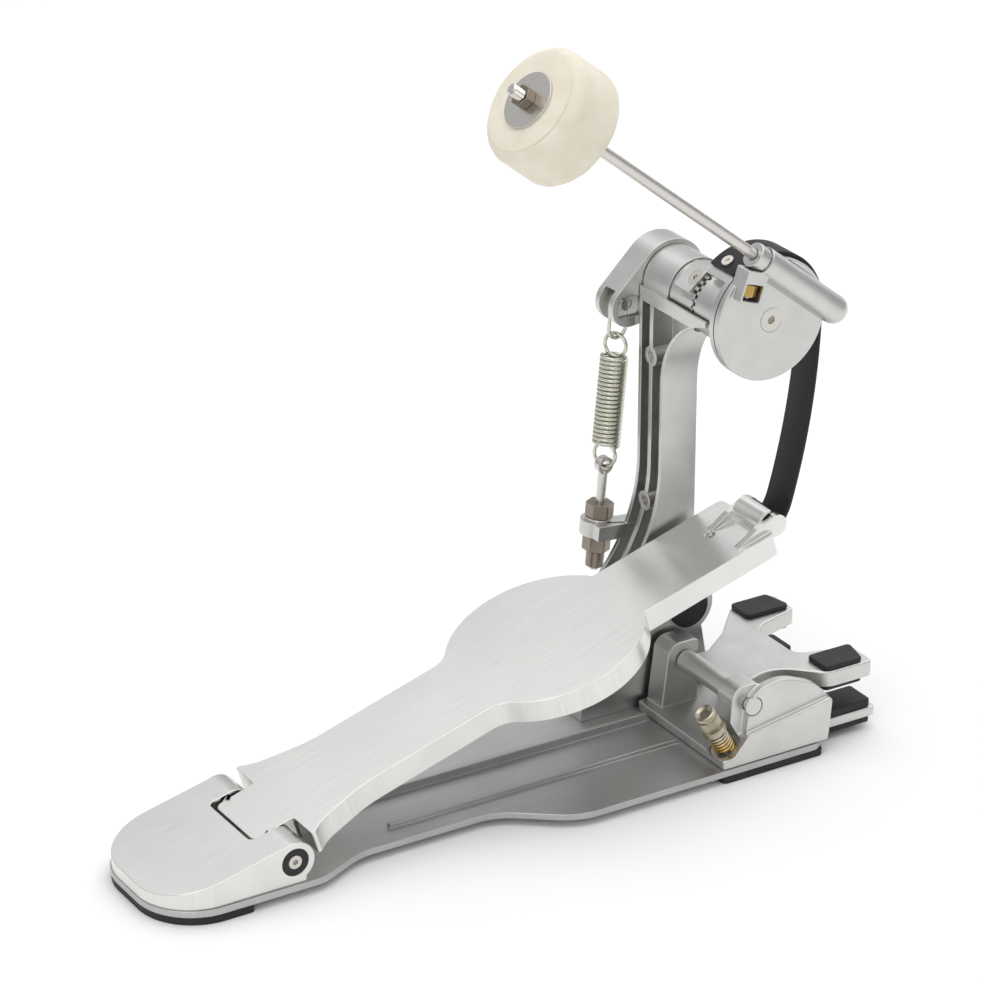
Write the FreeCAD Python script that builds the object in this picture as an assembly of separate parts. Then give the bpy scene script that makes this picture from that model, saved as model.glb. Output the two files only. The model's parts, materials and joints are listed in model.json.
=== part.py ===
import FreeCAD, Part
import math
import os
from FreeCAD import Vector

# Bass drum pedal on a single post.  Millimetres, +Z up, +Y towards the drum, +X to the
# player's right.  The origin is the centre of the underside of the heel's rubber pad.

# ---------------------------------------------------------------- driving dimensions
heel_pad_length = 47.0
pad_height = 4.0                 # rubber under the base plate
base_plate_thickness = 3.5
heel_half_width = 40.0
base_front_half_width = 55.0
base_length = 370.0

heel_hinge_y = 46.5              # heel hinge pin
heel_hinge_z = 19.4
hinge_pin_diameter = 6.0
knuckle_radius = 8.5
tongue_half_width = 20.0

board_length = 303.0             # from the hinge to the toe, along the board
board_angle = 16.9               # rise of the resting board, degrees
board_thickness = 12.5
board_top_over_hinge = 8.8
shank_half_width = 26.3
paddle_radius = 51.5
paddle_along = 175.5
neck_half_width = 24.0

axle_y = 318.0
axle_z = 233.5
axle_diameter = 10.0
wheel_radius = 32.0
wheel_ahead = 12.5               # centre of the wheel, ahead of and below the axle
wheel_drop = 2.0
disc_face_x = 20.0
disc_thickness = 3.8
strap_width = 19.5
strap_thickness = 2.0
strap_pivot_angle = 25.0         # where the hanging stretch of the strap leaves the rim

post_left_x = -49.5
post_width = 22.0
post_rear_y = 298.5
post_depth = 21.3
hub_radius = 17.5

beater_tilt = 51.5               # back from upright, degrees
shaft_diameter = 6.0
shaft_offset = 21.5              # from the wheel centre to the shaft's axis
shaft_x = 21.5
head_radius = 30.5
head_length = 32.5
head_reach = 198.5               # from the foot of the offset to the head's outer face

spring_x = -58.0
roller_back = 24.5               # roller behind and below the axle
roller_below = 11.5
spring_setback = 1.28             # spring line behind the resting roller
spring_diameter = 14.9
spring_lean = 5.4
tension_nut_flats = 13.0

clamp_pivot_y = 304.5
clamp_pivot_z = 37.5
jaw_thickness = 9.0
hoop_gap = 11.5                  # between the lower and the upper rubber pads

# ---------------------------------------------------------------- clearances
running = 0.05                   # radial, a pin or shaft that turns in its bore
side_gap = 0.4                   # between neighbours that move past each other

# ---------------------------------------------------------------- derived places
base_bottom = pad_height
base_top = base_bottom + base_plate_thickness
heel_end = -heel_pad_length / 2
base_front = heel_end + base_length
wheel_y = axle_y + wheel_ahead
wheel_z = axle_z - wheel_drop
disc_back_x = disc_face_x - disc_thickness
rim_right_x = disc_back_x - side_gap
rim_left_x = rim_right_x - strap_width
post_right_x = post_left_x + post_width
post_mid_x = post_left_x + post_width / 2
post_front_y = post_rear_y + post_depth
roller_y = axle_y - roller_back
roller_z = axle_z - roller_below
hinge_point = Vector(0, heel_hinge_y, heel_hinge_z)
axle_point = Vector(0, axle_y, axle_z)
wheel_point = Vector(0, wheel_y, wheel_z)
axis_x = Vector(1, 0, 0)
tilt = math.radians(beater_tilt)
shaft_up = Vector(0, -math.sin(tilt), math.cos(tilt))
shaft_side = Vector(0, math.cos(tilt), math.sin(tilt))
shaft_foot = wheel_point + shaft_side * shaft_offset + Vector(shaft_x, 0, 0)


# ---------------------------------------------------------------- helpers
def block(x0, x1, y0, y1, z0, z1):
    return Part.makeBox(x1 - x0, y1 - y0, z1 - z0, Vector(x0, y0, z0))


def rod(start, direction, radius, length):
    return Part.makeCylinder(radius, length, start, direction)


def rod_x(x0, x1, y, z, radius):
    return rod(Vector(x0, y, z), axis_x, radius, x1 - x0)


def tube_x(x0, x1, y, z, outer, inner):
    return rod_x(x0, x1, y, z, outer).cut(rod_x(x0 - 1, x1 + 1, y, z, inner))


def rounded_wire(corners):
    """A closed wire in XY: each corner is (u, v, radius), rounded by a tangent arc."""
    count = len(corners)
    edges = []
    ends = []
    for i in range(count):
        before = Vector(*corners[i - 1][:2])
        here = Vector(*corners[i][:2])
        after = Vector(*corners[(i + 1) % count][:2])
        radius = corners[i][2]
        back = (before - here).normalize()
        ahead = (after - here).normalize()
        half = math.acos(max(-1.0, min(1.0, back.dot(ahead)))) / 2
        if radius <= 0 or half > math.pi / 2 - 1e-6:
            ends.append((here, here, None))
            continue
        reach = radius / math.tan(half)
        middle = here + (back + ahead).normalize() * (radius / math.sin(half) - radius)
        ends.append((here + back * reach, here + ahead * reach, middle))
    for i in range(count):
        start, stop, middle = ends[i]
        if middle is not None:
            edges.append(Part.Arc(start, middle, stop).toShape())
        following = ends[(i + 1) % count][0]
        if stop.distanceToPoint(following) > 1e-6:
            edges.append(Part.LineSegment(stop, following).toShape())
    return Part.Wire(edges)


def plate(corners, z0, z1):
    """An outline in XY, extruded upwards."""
    face = Part.Face(rounded_wire(corners))
    face.translate(Vector(0, 0, z0))
    return face.extrude(Vector(0, 0, z1 - z0))


def side_plate(corners, x0, x1):
    """An outline in (y, z), extruded along X."""
    face = Part.Face(rounded_wire(corners))
    face.rotate(Vector(0, 0, 0), Vector(1, 1, 1), 120)
    face.translate(Vector(x0, 0, 0))
    return face.extrude(Vector(x1 - x0, 0, 0))


def front_plate(corners, y0, y1):
    """An outline in (x, z), extruded along Y."""
    face = Part.Face(rounded_wire(corners))
    face.rotate(Vector(0, 0, 0), axis_x, 90)
    face.translate(Vector(0, y0, 0))
    return face.extrude(Vector(0, y1 - y0, 0))


def mirrored(corners):
    """The outline of the right half (from front to rear) completed by its mirror image."""
    return corners + [(-u, v, r) for u, v, r in reversed(corners)]


def hexagon(centre, direction, flats, length):
    """A hexagonal prism that starts at centre."""
    corner = flats / math.sqrt(3)
    points = [Vector(corner * math.cos(k * math.pi / 3), corner * math.sin(k * math.pi / 3), 0) for k in range(7)]
    prism = Part.Face(Part.makePolygon(points)).extrude(Vector(0, 0, length))
    prism.Placement = FreeCAD.Placement(centre, FreeCAD.Rotation(Vector(0, 0, 1), direction))
    return prism


def lever(first, first_radius, second, second_radius, x0, x1):
    """Two round bosses in the YZ plane joined by their outer tangents."""
    gap = Vector(0, second[0] - first[0], second[1] - first[1])
    along = math.atan2(gap.z, gap.y)
    spread = math.acos((first_radius - second_radius) / gap.Length)
    points = []
    for centre, radius, signs in ((first, first_radius, (1, -1)), (second, second_radius, (-1, 1))):
        for sign in signs:
            angle = along + sign * spread
            points.append((centre[0] + radius * math.cos(angle), centre[1] + radius * math.sin(angle), 0))
    web = side_plate(points, x0, x1)
    return web.fuse([rod_x(x0, x1, *first, first_radius), rod_x(x0, x1, *second, second_radius)]).removeSplitter()


def rim_sector(inner, outer, x0, x1, start, stop):
    """Part of a ring round the wheel's centre, between two angles from straight ahead."""
    ring = tube_x(x0, x1, wheel_y, wheel_z, outer, inner)
    reach = outer * 3
    middle = (start + stop) / 2
    corners = [(wheel_y, wheel_z, 0)]
    for angle in (start, middle, stop):
        turn = math.radians(angle)
        corners.append((wheel_y + reach * math.cos(turn), wheel_z + reach * math.sin(turn), 0))
    return ring.common(side_plate(corners, x0 - 1, x1 + 1))


def countersunk(head_centre, direction, head_radius_, shank_radius, length, socket):
    """A countersunk screw: the flat head at head_centre, its shank along direction."""
    depth = head_radius_ - shank_radius
    head = Part.makeCone(head_radius_, shank_radius, depth, head_centre, direction)
    shank = rod(head_centre, direction, shank_radius, length)
    return head.fuse(shank).cut(hexagon(head_centre, direction, socket, depth * 0.8)).removeSplitter()


def cap_screw(head_top, direction, head_radius_, head_height, shank_radius, length, socket):
    """A socket-head screw: the top of its head at head_top, its shank along direction."""
    head = rod(head_top, direction, head_radius_, head_height)
    shank = rod(head_top, direction, shank_radius, head_height + length)
    return head.fuse(shank).cut(hexagon(head_top, direction, socket, head_height * 0.6)).removeSplitter()


def crown_teeth(x0, x1, outer, inner, count, phase):
    """Teeth on the end face of a hub, round the axle, as one ring of small wedges."""
    wedge_half = math.pi / count / 2
    teeth = []
    for k in range(count):
        angle = 2 * math.pi * k / count + phase
        corners = []
        for radius, side in ((inner, -1), (outer, -1), (outer, 1), (inner, 1)):
            turn = angle + side * wedge_half
            corners.append((axle_y + radius * math.cos(turn), axle_z + radius * math.sin(turn), 0))
        teeth.append(side_plate(corners, x0, x1))
    return teeth


parts = {}

# ---------------------------------------------------------------- base plate and its rubber
waist_half_width = 29.5
base_half = [
    (base_front_half_width, base_front, 6), (base_front_half_width, 199.0, 34),
    (waist_half_width, 165.0, 30), (waist_half_width, 88.0, 34),
    (heel_half_width + 1.5, 62.0, 20), (heel_half_width + 1.5, heel_end - 0.5, 31),
]
base_plate = plate(mirrored(base_half), base_bottom, base_top)
rib_width = 3.0
rib_start = 112.0
rib_end = 282.0
rib_heights = {15.5: 2.2, -13.0: 4.5}
for rib_x, rib_height in rib_heights.items():
    rib = block(rib_x - rib_width / 2, rib_x + rib_width / 2, rib_start, rib_end, base_top, base_top + rib_height)
    base_plate = base_plate.fuse(rib)
parts["base_plate"] = base_plate.removeSplitter()

heel_pad_half = [(heel_half_width + 1.5, heel_pad_length / 2, 2), (heel_half_width + 1.5, heel_end, 31)]
parts["heel_pad"] = plate(mirrored(heel_pad_half), 0, pad_height)
front_pad_length = 62.0
front_pad_width = 14.0
for side, sign in (("right", 1), ("left", -1)):
    inner_x = sign * (base_front_half_width - front_pad_width)
    outer_x = sign * base_front_half_width
    low_x = min(inner_x, outer_x)
    high_x = max(inner_x, outer_x)
    pad_rear = base_front - front_pad_length
    pad_corners = [(low_x, pad_rear, 3), (high_x, pad_rear, 3), (high_x, base_front, 3), (low_x, base_front, 3)]
    parts["front_pad_" + side] = plate(pad_corners, 0, pad_height)

# ---------------------------------------------------------------- heel plate (casting)
notch_half_width = tongue_half_width + 1.3
notch_rear = heel_hinge_y - 14.4
heel_ear_radius = 10.5
heel_slope = 13.0
heel_top_rear = 13.4
heel_half = [(heel_half_width, heel_hinge_y + heel_ear_radius, 0), (heel_half_width, heel_end, 30)]
heel_side = [
    (heel_end - 1, base_top, 0), (heel_hinge_y, base_top, 0),
    (heel_hinge_y, heel_hinge_z + heel_ear_radius, 0),
    (heel_end - 1, heel_top_rear, 0),
]
heel_body = side_plate(heel_side, -heel_half_width, heel_half_width)
heel_body = heel_body.common(plate(mirrored(heel_half), base_top, base_top + 60))
ear_ends = rod_x(-heel_half_width, heel_half_width, heel_hinge_y, heel_hinge_z, heel_ear_radius)
ear_foot = block(-heel_half_width, heel_half_width, heel_hinge_y - 1, heel_hinge_y + 6, base_top, heel_hinge_z)
heel_body = heel_body.fuse([ear_ends, ear_foot])
notch = [
    (-notch_half_width, notch_rear, 3), (notch_half_width, notch_rear, 3),
    (notch_half_width, heel_hinge_y + 40, 0), (-notch_half_width, heel_hinge_y + 40, 0),
]
heel_body = heel_body.cut(plate(notch, base_top - 1, base_top + 60))
cap_radius = 7.2
cap_depth = 4.0
pin_half_length = heel_half_width - cap_depth
heel_body = heel_body.cut(rod_x(-pin_half_length - 1, pin_half_length + 1, heel_hinge_y, heel_hinge_z,
                                hinge_pin_diameter / 2))
for sign in (1, -1):
    start = Vector(sign * heel_half_width, heel_hinge_y, heel_hinge_z)
    heel_body = heel_body.cut(rod(start, axis_x * -sign, cap_radius, cap_depth))
heel_screw_places = [(x, y) for x in (-27.0, 27.0) for y in (-2.0, 28.0)]
for x, y in heel_screw_places:
    heel_body = heel_body.cut(rod(Vector(x, y, base_top - 1), Vector(0, 0, 1), 1.6, 6.0))
parts["heel_plate"] = heel_body.removeSplitter()

heel_screws = []
for x, y in heel_screw_places:
    parts["base_plate"] = parts["base_plate"].cut(
        Part.makeCone(3.2, 1.6, 1.6, Vector(x, y, base_bottom), Vector(0, 0, 1)))
    parts["base_plate"] = parts["base_plate"].cut(rod(Vector(x, y, base_bottom), Vector(0, 0, 1), 1.6, 5))
    heel_screws.append(countersunk(Vector(x, y, base_bottom), Vector(0, 0, 1), 3.2, 1.6, 8.0, 2.0))
parts["heel_plate_screws"] = Part.makeCompound(heel_screws)

# ---------------------------------------------------------------- heel hinge
pin = rod_x(-pin_half_length, pin_half_length, heel_hinge_y, heel_hinge_z, hinge_pin_diameter / 2)
screw_shank = 1.5
screw_bite = 9.0
for side, sign in (("right", 1), ("left", -1)):
    inward = axis_x * -sign
    face_point = Vector(sign * heel_half_width, heel_hinge_y, heel_hinge_z)
    pin = pin.cut(rod(Vector(sign * pin_half_length, heel_hinge_y, heel_hinge_z), inward, screw_shank, screw_bite))
    ring = rod(face_point, inward, cap_radius, cap_depth)
    ring = ring.cut(rod(face_point, inward, 3.6, 3.0))
    parts["hinge_cap_" + side] = ring.cut(rod(face_point, inward, screw_shank, cap_depth + 1))
    parts["hinge_screw_" + side] = cap_screw(face_point, inward, 3.6, 3.0, screw_shank,
                                             cap_depth - 3.0 + screw_bite, 2.6)
parts["hinge_pin"] = pin
bearing_length = 10.0
bearing_outer = 4.6
bearing_inner = hinge_pin_diameter / 2 + running
bearing_spots = ((-tongue_half_width, -tongue_half_width + bearing_length),
                 (tongue_half_width - bearing_length, tongue_half_width))
parts["hinge_bearings"] = Part.makeCompound(
    [tube_x(x0, x1, heel_hinge_y, heel_hinge_z, bearing_outer, bearing_inner) for x0, x1 in bearing_spots])

# ---------------------------------------------------------------- footboard
# Drawn flat, with the hinge axis at along = 0 and the top at height board_top_over_hinge,
# then turned up by board_angle about the hinge.
shoulder_half_width = heel_half_width
junction_radius = 14.0
junction_rise = math.sqrt((paddle_radius + junction_radius) ** 2 - (shank_half_width + junction_radius) ** 2)
junction_along = paddle_along - junction_rise
shoulder_along = heel_ear_radius + 2.6
toe_half = [
    (neck_half_width, board_length, 4), (neck_half_width, paddle_along, 0),
]
shank_half = [
    (shank_half_width, paddle_along, 0), (shank_half_width, shoulder_along + 36, 60),
    (shoulder_half_width - 6.5, shoulder_along + 8, 26), (shoulder_half_width, shoulder_along, 1.5),
    (tongue_half_width, shoulder_along, 1.5), (tongue_half_width, -9.5, 4),
]
board_low = board_top_over_hinge - board_thickness
paddle = rod(Vector(0, paddle_along, board_low), Vector(0, 0, 1), paddle_radius, board_thickness)
board = plate(mirrored(toe_half), board_low, board_top_over_hinge)
board = board.fuse([plate(mirrored(shank_half), board_low, board_top_over_hinge), paddle])
for sign in (1, -1):
    # the hollow curve between the shank and the round paddle
    centre = Vector(sign * (shank_half_width + junction_radius), junction_along, board_low)
    tangent = centre + (Vector(0, paddle_along, board_low) - centre).normalize() * junction_radius
    corners = [
        (sign * (shank_half_width - 1), junction_along, 0), (centre.x, centre.y, 0),
        (tangent.x, tangent.y, 0), (sign * (shank_half_width - 1), tangent.y + 6, 0),
    ]
    web = plate(corners, board_low, board_top_over_hinge)
    board = board.fuse(web.cut(rod(centre, Vector(0, 0, 1), junction_radius, board_thickness)))
knuckle = rod_x(-tongue_half_width, tongue_half_width, 0, 0, knuckle_radius)
board = board.fuse(knuckle)
ear_relief = heel_ear_radius + 1.2
for sign in (1, -1):
    relief = rod(Vector(sign * (tongue_half_width + 0.01), 0, 0), axis_x * sign, ear_relief, 40)
    board = board.cut(relief)
board = board.cut(rod_x(-60, 60, 0, 0, hinge_pin_diameter / 2 + 0.4))
for x0, x1 in bearing_spots:
    board = board.cut(rod_x(x0, x1, 0, 0, bearing_outer))
pocket_floor = board_top_over_hinge - 4.5
pocket_wall = 5.0
shank_pocket = block(-shank_half_width + pocket_wall, shank_half_width - pocket_wall, shoulder_along + 14,
                     paddle_along - paddle_radius - 3, board_low - 1, pocket_floor)
paddle_pocket = rod(Vector(0, paddle_along, board_low - 1), Vector(0, 0, 1), paddle_radius - pocket_wall,
                    pocket_floor - board_low + 1)
spine_half_width = 3.0
paddle_spine = block(-spine_half_width, spine_half_width, paddle_along - paddle_radius, paddle_along + paddle_radius,
                     board_low - 2, pocket_floor + 1)
board = board.cut(shank_pocket).cut(paddle_pocket.cut(paddle_spine))
# the strap's yoke on the toe: two rounded lugs that hold a cross pin ahead of the board
toe_pin_along = board_length + 3.0
toe_pin_height = board_top_over_hinge + 0.2
toe_pin_radius = 1.75
toe_barrel_radius = 5.0
strap_middle_x = (rim_left_x + rim_right_x) / 2
lug_gap_half = strap_width / 2 + 0.6
lug_width = 4.0
lug_radius = 6.0
lug_spot = (toe_pin_along + 1.2, toe_pin_height + 0.4)
pin_slot_run = 3.3                # how far the pin drifts in the lugs in mid stroke
pin_slot_drop = 2.0
strap_room = toe_barrel_radius + strap_thickness + side_gap
toe_slot = block(strap_middle_x - lug_gap_half, strap_middle_x + lug_gap_half, toe_pin_along - strap_room,
                 board_length + 5, toe_pin_height - strap_room - pin_slot_drop, board_top_over_hinge + 20)
for sign in (1, -1):
    near = strap_middle_x + sign * lug_gap_half
    far = near + sign * lug_width
    lug_ends = (min(near, far), max(near, far))
    ramp = [
        (board_length - 20.0, board_top_over_hinge - 1, 0), (lug_spot[0], lug_spot[1] - lug_radius, 0),
        (lug_spot[0] - 1.0, lug_spot[1] + lug_radius, 0), (board_length - 8.0, board_top_over_hinge + 4.6, 7),
        (board_length - 20.0, board_top_over_hinge + 0.1, 0),
    ]
    board = board.fuse([side_plate(ramp, *lug_ends), rod_x(*lug_ends, *lug_spot, lug_radius)])
board = board.cut(toe_slot)
# a curled hood joins the lugs over the back of the strap's loop
hood_wall = 1.6
hood_ends = (strap_middle_x - lug_gap_half - 1, strap_middle_x + lug_gap_half + 1)
toe_hood = tube_x(*hood_ends, toe_pin_along, toe_pin_height, strap_room + hood_wall, strap_room)
hood_reach = block(hood_ends[0] - 1, hood_ends[1] + 1, board_length - 20, toe_pin_along + 1.5,
                   board_top_over_hinge - 1.5, board_top_over_hinge + 30)
board = board.fuse(toe_hood.common(hood_reach))
# the pin is held in the strap's loop, and its ends ride in short blind slots of the lugs
pin_end_depth = 2.6
toe_pin_ends = (strap_middle_x - lug_gap_half - pin_end_depth, strap_middle_x + lug_gap_half + pin_end_depth)
pin_slot_ends = (toe_pin_ends[0] - side_gap, toe_pin_ends[1] + side_gap)
pin_slot_radius = toe_pin_radius + 0.4
pin_slot = lever((toe_pin_along, toe_pin_height), pin_slot_radius,
                 (toe_pin_along + pin_slot_run, toe_pin_height - pin_slot_drop), pin_slot_radius, *pin_slot_ends)
board = board.cut(pin_slot)
toe_screw_along = board_length - 22.0
toe_screw_x = -3.0
toe_screw_top = Vector(toe_screw_x, toe_screw_along, board_top_over_hinge)
board = board.cut(rod(toe_screw_top, Vector(0, 0, -1), 2.6, 6.0))
toe_screw = cap_screw(toe_screw_top - Vector(0, 0, 1.5), Vector(0, 0, -1), 2.6, 2.5, 2.0, 2.0, 2.4)
toe_pin = rod_x(*toe_pin_ends, toe_pin_along, toe_pin_height, toe_pin_radius)
toe_pin = toe_pin.fuse(rod_x(rim_left_x, rim_right_x, toe_pin_along, toe_pin_height, toe_barrel_radius))


def raised(shape):
    """From the flat drawing of the board to its place on the hinge."""
    placed = shape.copy()
    placed.rotate(Vector(0, 0, 0), axis_x, board_angle)
    placed.translate(hinge_point)
    return placed


def raised_point(along, height):
    rise = math.radians(board_angle)
    return Vector(0, heel_hinge_y + along * math.cos(rise) - height * math.sin(rise),
                  heel_hinge_z + along * math.sin(rise) + height * math.cos(rise))


parts["footboard"] = raised(board.removeSplitter())
parts["toe_pin"] = raised(toe_pin)
parts["toe_screw"] = raised(toe_screw)

# ---------------------------------------------------------------- post (casting)
foot_rear_y = 252.0
foot_front_y = 331.0
foot_height = 9.0
sweep_radius = 94.0
sweep_top = 140.0
sweep_low = 79.0
sweep_low_y = post_rear_y - sweep_radius + math.sqrt(sweep_radius ** 2 - (sweep_top - sweep_low) ** 2)
sweep_mid = (sweep_top + sweep_low) / 2
sweep_mid_y = post_rear_y - sweep_radius + math.sqrt(sweep_radius ** 2 - (sweep_top - sweep_mid) ** 2)
boss_y = 317.0
boss_z = 57.5
boss_radius = 15.5
flare_radius = 45.0
flare_right_x = 9.0
post_head_z = axle_z - 0.5


def post_side(depth_cut, x0, x1):
    """The post seen from the side; depth_cut moves its rear edge forwards, for the channels."""
    rear = post_rear_y + depth_cut
    swept = [
        Part.LineSegment(Vector(0, rear, axle_z + 2), Vector(0, rear, sweep_top)).toShape(),
        Part.Arc(Vector(0, rear, sweep_top), Vector(0, sweep_mid_y + depth_cut, sweep_mid),
                 Vector(0, sweep_low_y + depth_cut, sweep_low)).toShape(),
        Part.LineSegment(Vector(0, sweep_low_y + depth_cut, sweep_low),
                         Vector(0, foot_rear_y + depth_cut, base_top + foot_height)).toShape(),
        Part.LineSegment(Vector(0, foot_rear_y + depth_cut, base_top + foot_height),
                         Vector(0, foot_rear_y + depth_cut, base_top)).toShape(),
        Part.LineSegment(Vector(0, foot_rear_y + depth_cut, base_top), Vector(0, foot_front_y, base_top)).toShape(),
        Part.LineSegment(Vector(0, foot_front_y, base_top),
                         Vector(0, foot_front_y, base_top + foot_height)).toShape(),
        Part.LineSegment(Vector(0, foot_front_y, base_top + foot_height),
                         Vector(0, post_front_y, boss_z + 20)).toShape(),
        Part.LineSegment(Vector(0, post_front_y, boss_z + 20), Vector(0, post_front_y, axle_z + 2)).toShape(),
        Part.LineSegment(Vector(0, post_front_y, axle_z + 2), Vector(0, rear, axle_z + 2)).toShape(),
    ]
    face = Part.Face(Part.Wire(swept))
    face.translate(Vector(x0, 0, 0))
    return face.extrude(Vector(x1 - x0, 0, 0))


def flared_front(left, right, radius, top, low):
    """The post seen from the rear: straight up, then flared to the right under the axle."""
    centre_x = right + radius
    centre_z = axle_z - 48.0
    end_x = flare_right_x
    end_z = centre_z + math.sqrt(radius ** 2 - (centre_x - end_x) ** 2)
    turn = math.radians(135)
    wire = Part.Wire([
        Part.LineSegment(Vector(left, 0, low), Vector(right, 0, low)).toShape(),
        Part.LineSegment(Vector(right, 0, low), Vector(right, 0, centre_z)).toShape(),
        Part.Arc(Vector(right, 0, centre_z),
                 Vector(centre_x + radius * math.cos(turn), 0, centre_z + radius * math.sin(turn)),
                 Vector(end_x, 0, end_z)).toShape(),
        Part.LineSegment(Vector(end_x, 0, end_z), Vector(end_x, 0, top)).toShape(),
        Part.LineSegment(Vector(end_x, 0, top), Vector(left, 0, top)).toShape(),
        Part.LineSegment(Vector(left, 0, top), Vector(left, 0, low)).toShape(),
    ])
    face = Part.Face(wire)
    face.translate(Vector(0, foot_rear_y - 5, 0))
    return face.extrude(Vector(0, 120, 0))


post = post_side(0, post_left_x, flare_right_x)
post = post.common(flared_front(post_left_x, post_right_x, flare_radius, post_head_z, 0))
channel_depth = 12.0
channel_wall = 2.4
middle_rib = 3.0
channel_top = axle_z - 8.0
channel_zone = side_plate([(0, base_top + 26, 0), (500, base_top + 26, 0), (500, channel_top, 0), (0, channel_top, 0)],
                          post_left_x, flare_right_x)
solid_behind = post_side(channel_depth, post_left_x - 1, flare_right_x + 1)
channels = [
    block(post_left_x + channel_wall, post_mid_x - middle_rib / 2, 200, 400, 0, channel_top),
    flared_front(post_mid_x + middle_rib / 2, post_right_x - channel_wall, flare_radius, post_head_z, 0),
]
for channel in channels:
    post = post.cut(channel.common(channel_zone).cut(solid_behind))
post = post.fuse(rod_x(post_left_x, post_right_x, axle_y, axle_z, hub_radius))
post = post.fuse(rod_x(post_left_x, post_right_x, boss_y, boss_z, boss_radius))
cradle = rod_x(post_right_x, flare_right_x + 1, axle_y, axle_z, hub_radius + side_gap)
post = post.cut(cradle)
post_screw_x = post_mid_x
post_screw_places = {198.0: 0.0, 118.5: 2.6}
post_screws = []
for height, behind in post_screw_places.items():
    rear = post_rear_y - behind
    lug = rod(Vector(post_screw_x, rear, height), Vector(0, 1, 0), 5.2, channel_depth + 4)
    hole = rod(Vector(post_screw_x, rear - 1, height), Vector(0, 1, 0), 3.0, 4.0)
    thread = rod(Vector(post_screw_x, rear, height), Vector(0, 1, 0), 1.75, 14.0)
    post = post.fuse(lug).cut(hole).cut(thread)
    post_screws.append(cap_screw(Vector(post_screw_x, rear + 0.4, height), Vector(0, 1, 0), 3.0, 2.6, 1.75, 11.0, 2.4))
bearing_seat = 9.5
axle_radius = axle_diameter / 2
bearing_depth = 7.0
post = post.cut(rod_x(post_left_x - 1, post_right_x + 1, axle_y, axle_z, axle_radius + 0.8))
bearing_places = ((post_left_x, post_left_x + bearing_depth), (post_right_x - bearing_depth, post_right_x))
for x0, x1 in bearing_places:
    post = post.cut(rod_x(x0, x1, axle_y, axle_z, bearing_seat))
parts["axle_bearings"] = Part.makeCompound(
    [tube_x(x0, x1, axle_y, axle_z, bearing_seat, axle_radius + running) for x0, x1 in bearing_places])

# bracket for the spring's tension rod, cast on the left of the post.
# the roller swings back by twice spring_setback and forward again, so the spring hangs midway
lean = math.radians(spring_lean)
spring_down = Vector(0, -math.sin(lean), -math.cos(lean))
roller_point = Vector(spring_x, roller_y - spring_setback, roller_z)


def along_spring(distance):
    return roller_point + spring_down * distance


tension_rod_radius = 2.5
bracket_drop = 122.0
bracket_thickness = 8.0
bracket_top = along_spring(bracket_drop - bracket_thickness / 2)
bracket_low = along_spring(bracket_drop + bracket_thickness / 2)
bracket_middle = along_spring(bracket_drop)
bracket = rod(bracket_top, spring_down, 9.5, bracket_thickness)
arm = block(spring_x, post_left_x + 3, -7.0, 22.0, -bracket_thickness / 2, bracket_thickness / 2)
arm.rotate(Vector(0, 0, 0), axis_x, -spring_lean)
arm.translate(Vector(0, bracket_middle.y, bracket_middle.z))
bracket = bracket.fuse(arm).cut(rod(bracket_top - spring_down * 9, spring_down, tension_rod_radius + 0.1, 30))
post = post.fuse(bracket)
foot_screw_places = [(post_mid_x, foot_rear_y + 9.0), (post_mid_x, foot_front_y - 6.0)]
foot_screws = []
for x, y in foot_screw_places:
    bore = rod(Vector(x, y, base_bottom), Vector(0, 0, 1), 2.0, 10.0)
    cone = Part.makeCone(4.0, 2.0, 2.0, Vector(x, y, base_bottom), Vector(0, 0, 1))
    post = post.cut(bore)
    parts["base_plate"] = parts["base_plate"].cut(bore).cut(cone)
    foot_screws.append(countersunk(Vector(x, y, base_bottom), Vector(0, 0, 1), 4.0, 2.0, 10.0, 2.5))
parts["foot_screws"] = Part.makeCompound(foot_screws)
boss_cap_radius = 11.3
boss_cap_thickness = 2.0
boss_bore = 4.0
post = post.cut(rod_x(post_left_x - 1, post_right_x + 1, boss_y, boss_z, boss_bore))
parts["post"] = post.removeSplitter()
parts["post_screws"] = Part.makeCompound(post_screws)
bolt_head = rod_x(post_left_x - 5.0, post_left_x, boss_y, boss_z, 6.5)
bolt_head = bolt_head.cut(hexagon(Vector(post_left_x - 5.0, boss_y, boss_z), axis_x, 5.0, 3.0))
parts["post_foot_bolt"] = bolt_head.fuse(rod_x(post_left_x, post_right_x, boss_y, boss_z, boss_bore)).removeSplitter()
parts["post_foot_cap"] = rod_x(post_right_x, post_right_x + boss_cap_thickness, boss_y, boss_z, boss_cap_radius)

# ---------------------------------------------------------------- axle, collar and rocker
collar_left_x = post_right_x + side_gap
teeth_depth = 1.6
hub_left_x = rim_left_x - 0.6
collar_right_x = hub_left_x - teeth_depth * 2 - side_gap
rocker_right_x = post_left_x - side_gap
rocker_width = 16.0
rocker_left_x = rocker_right_x - rocker_width
hub_right_x = rim_right_x - 3.3
axle_left_x = rocker_left_x + 3.0
axle_right_x = hub_right_x - 2.0
parts["axle_shaft"] = rod_x(axle_left_x, axle_right_x, axle_y, axle_z, axle_radius)

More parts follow.
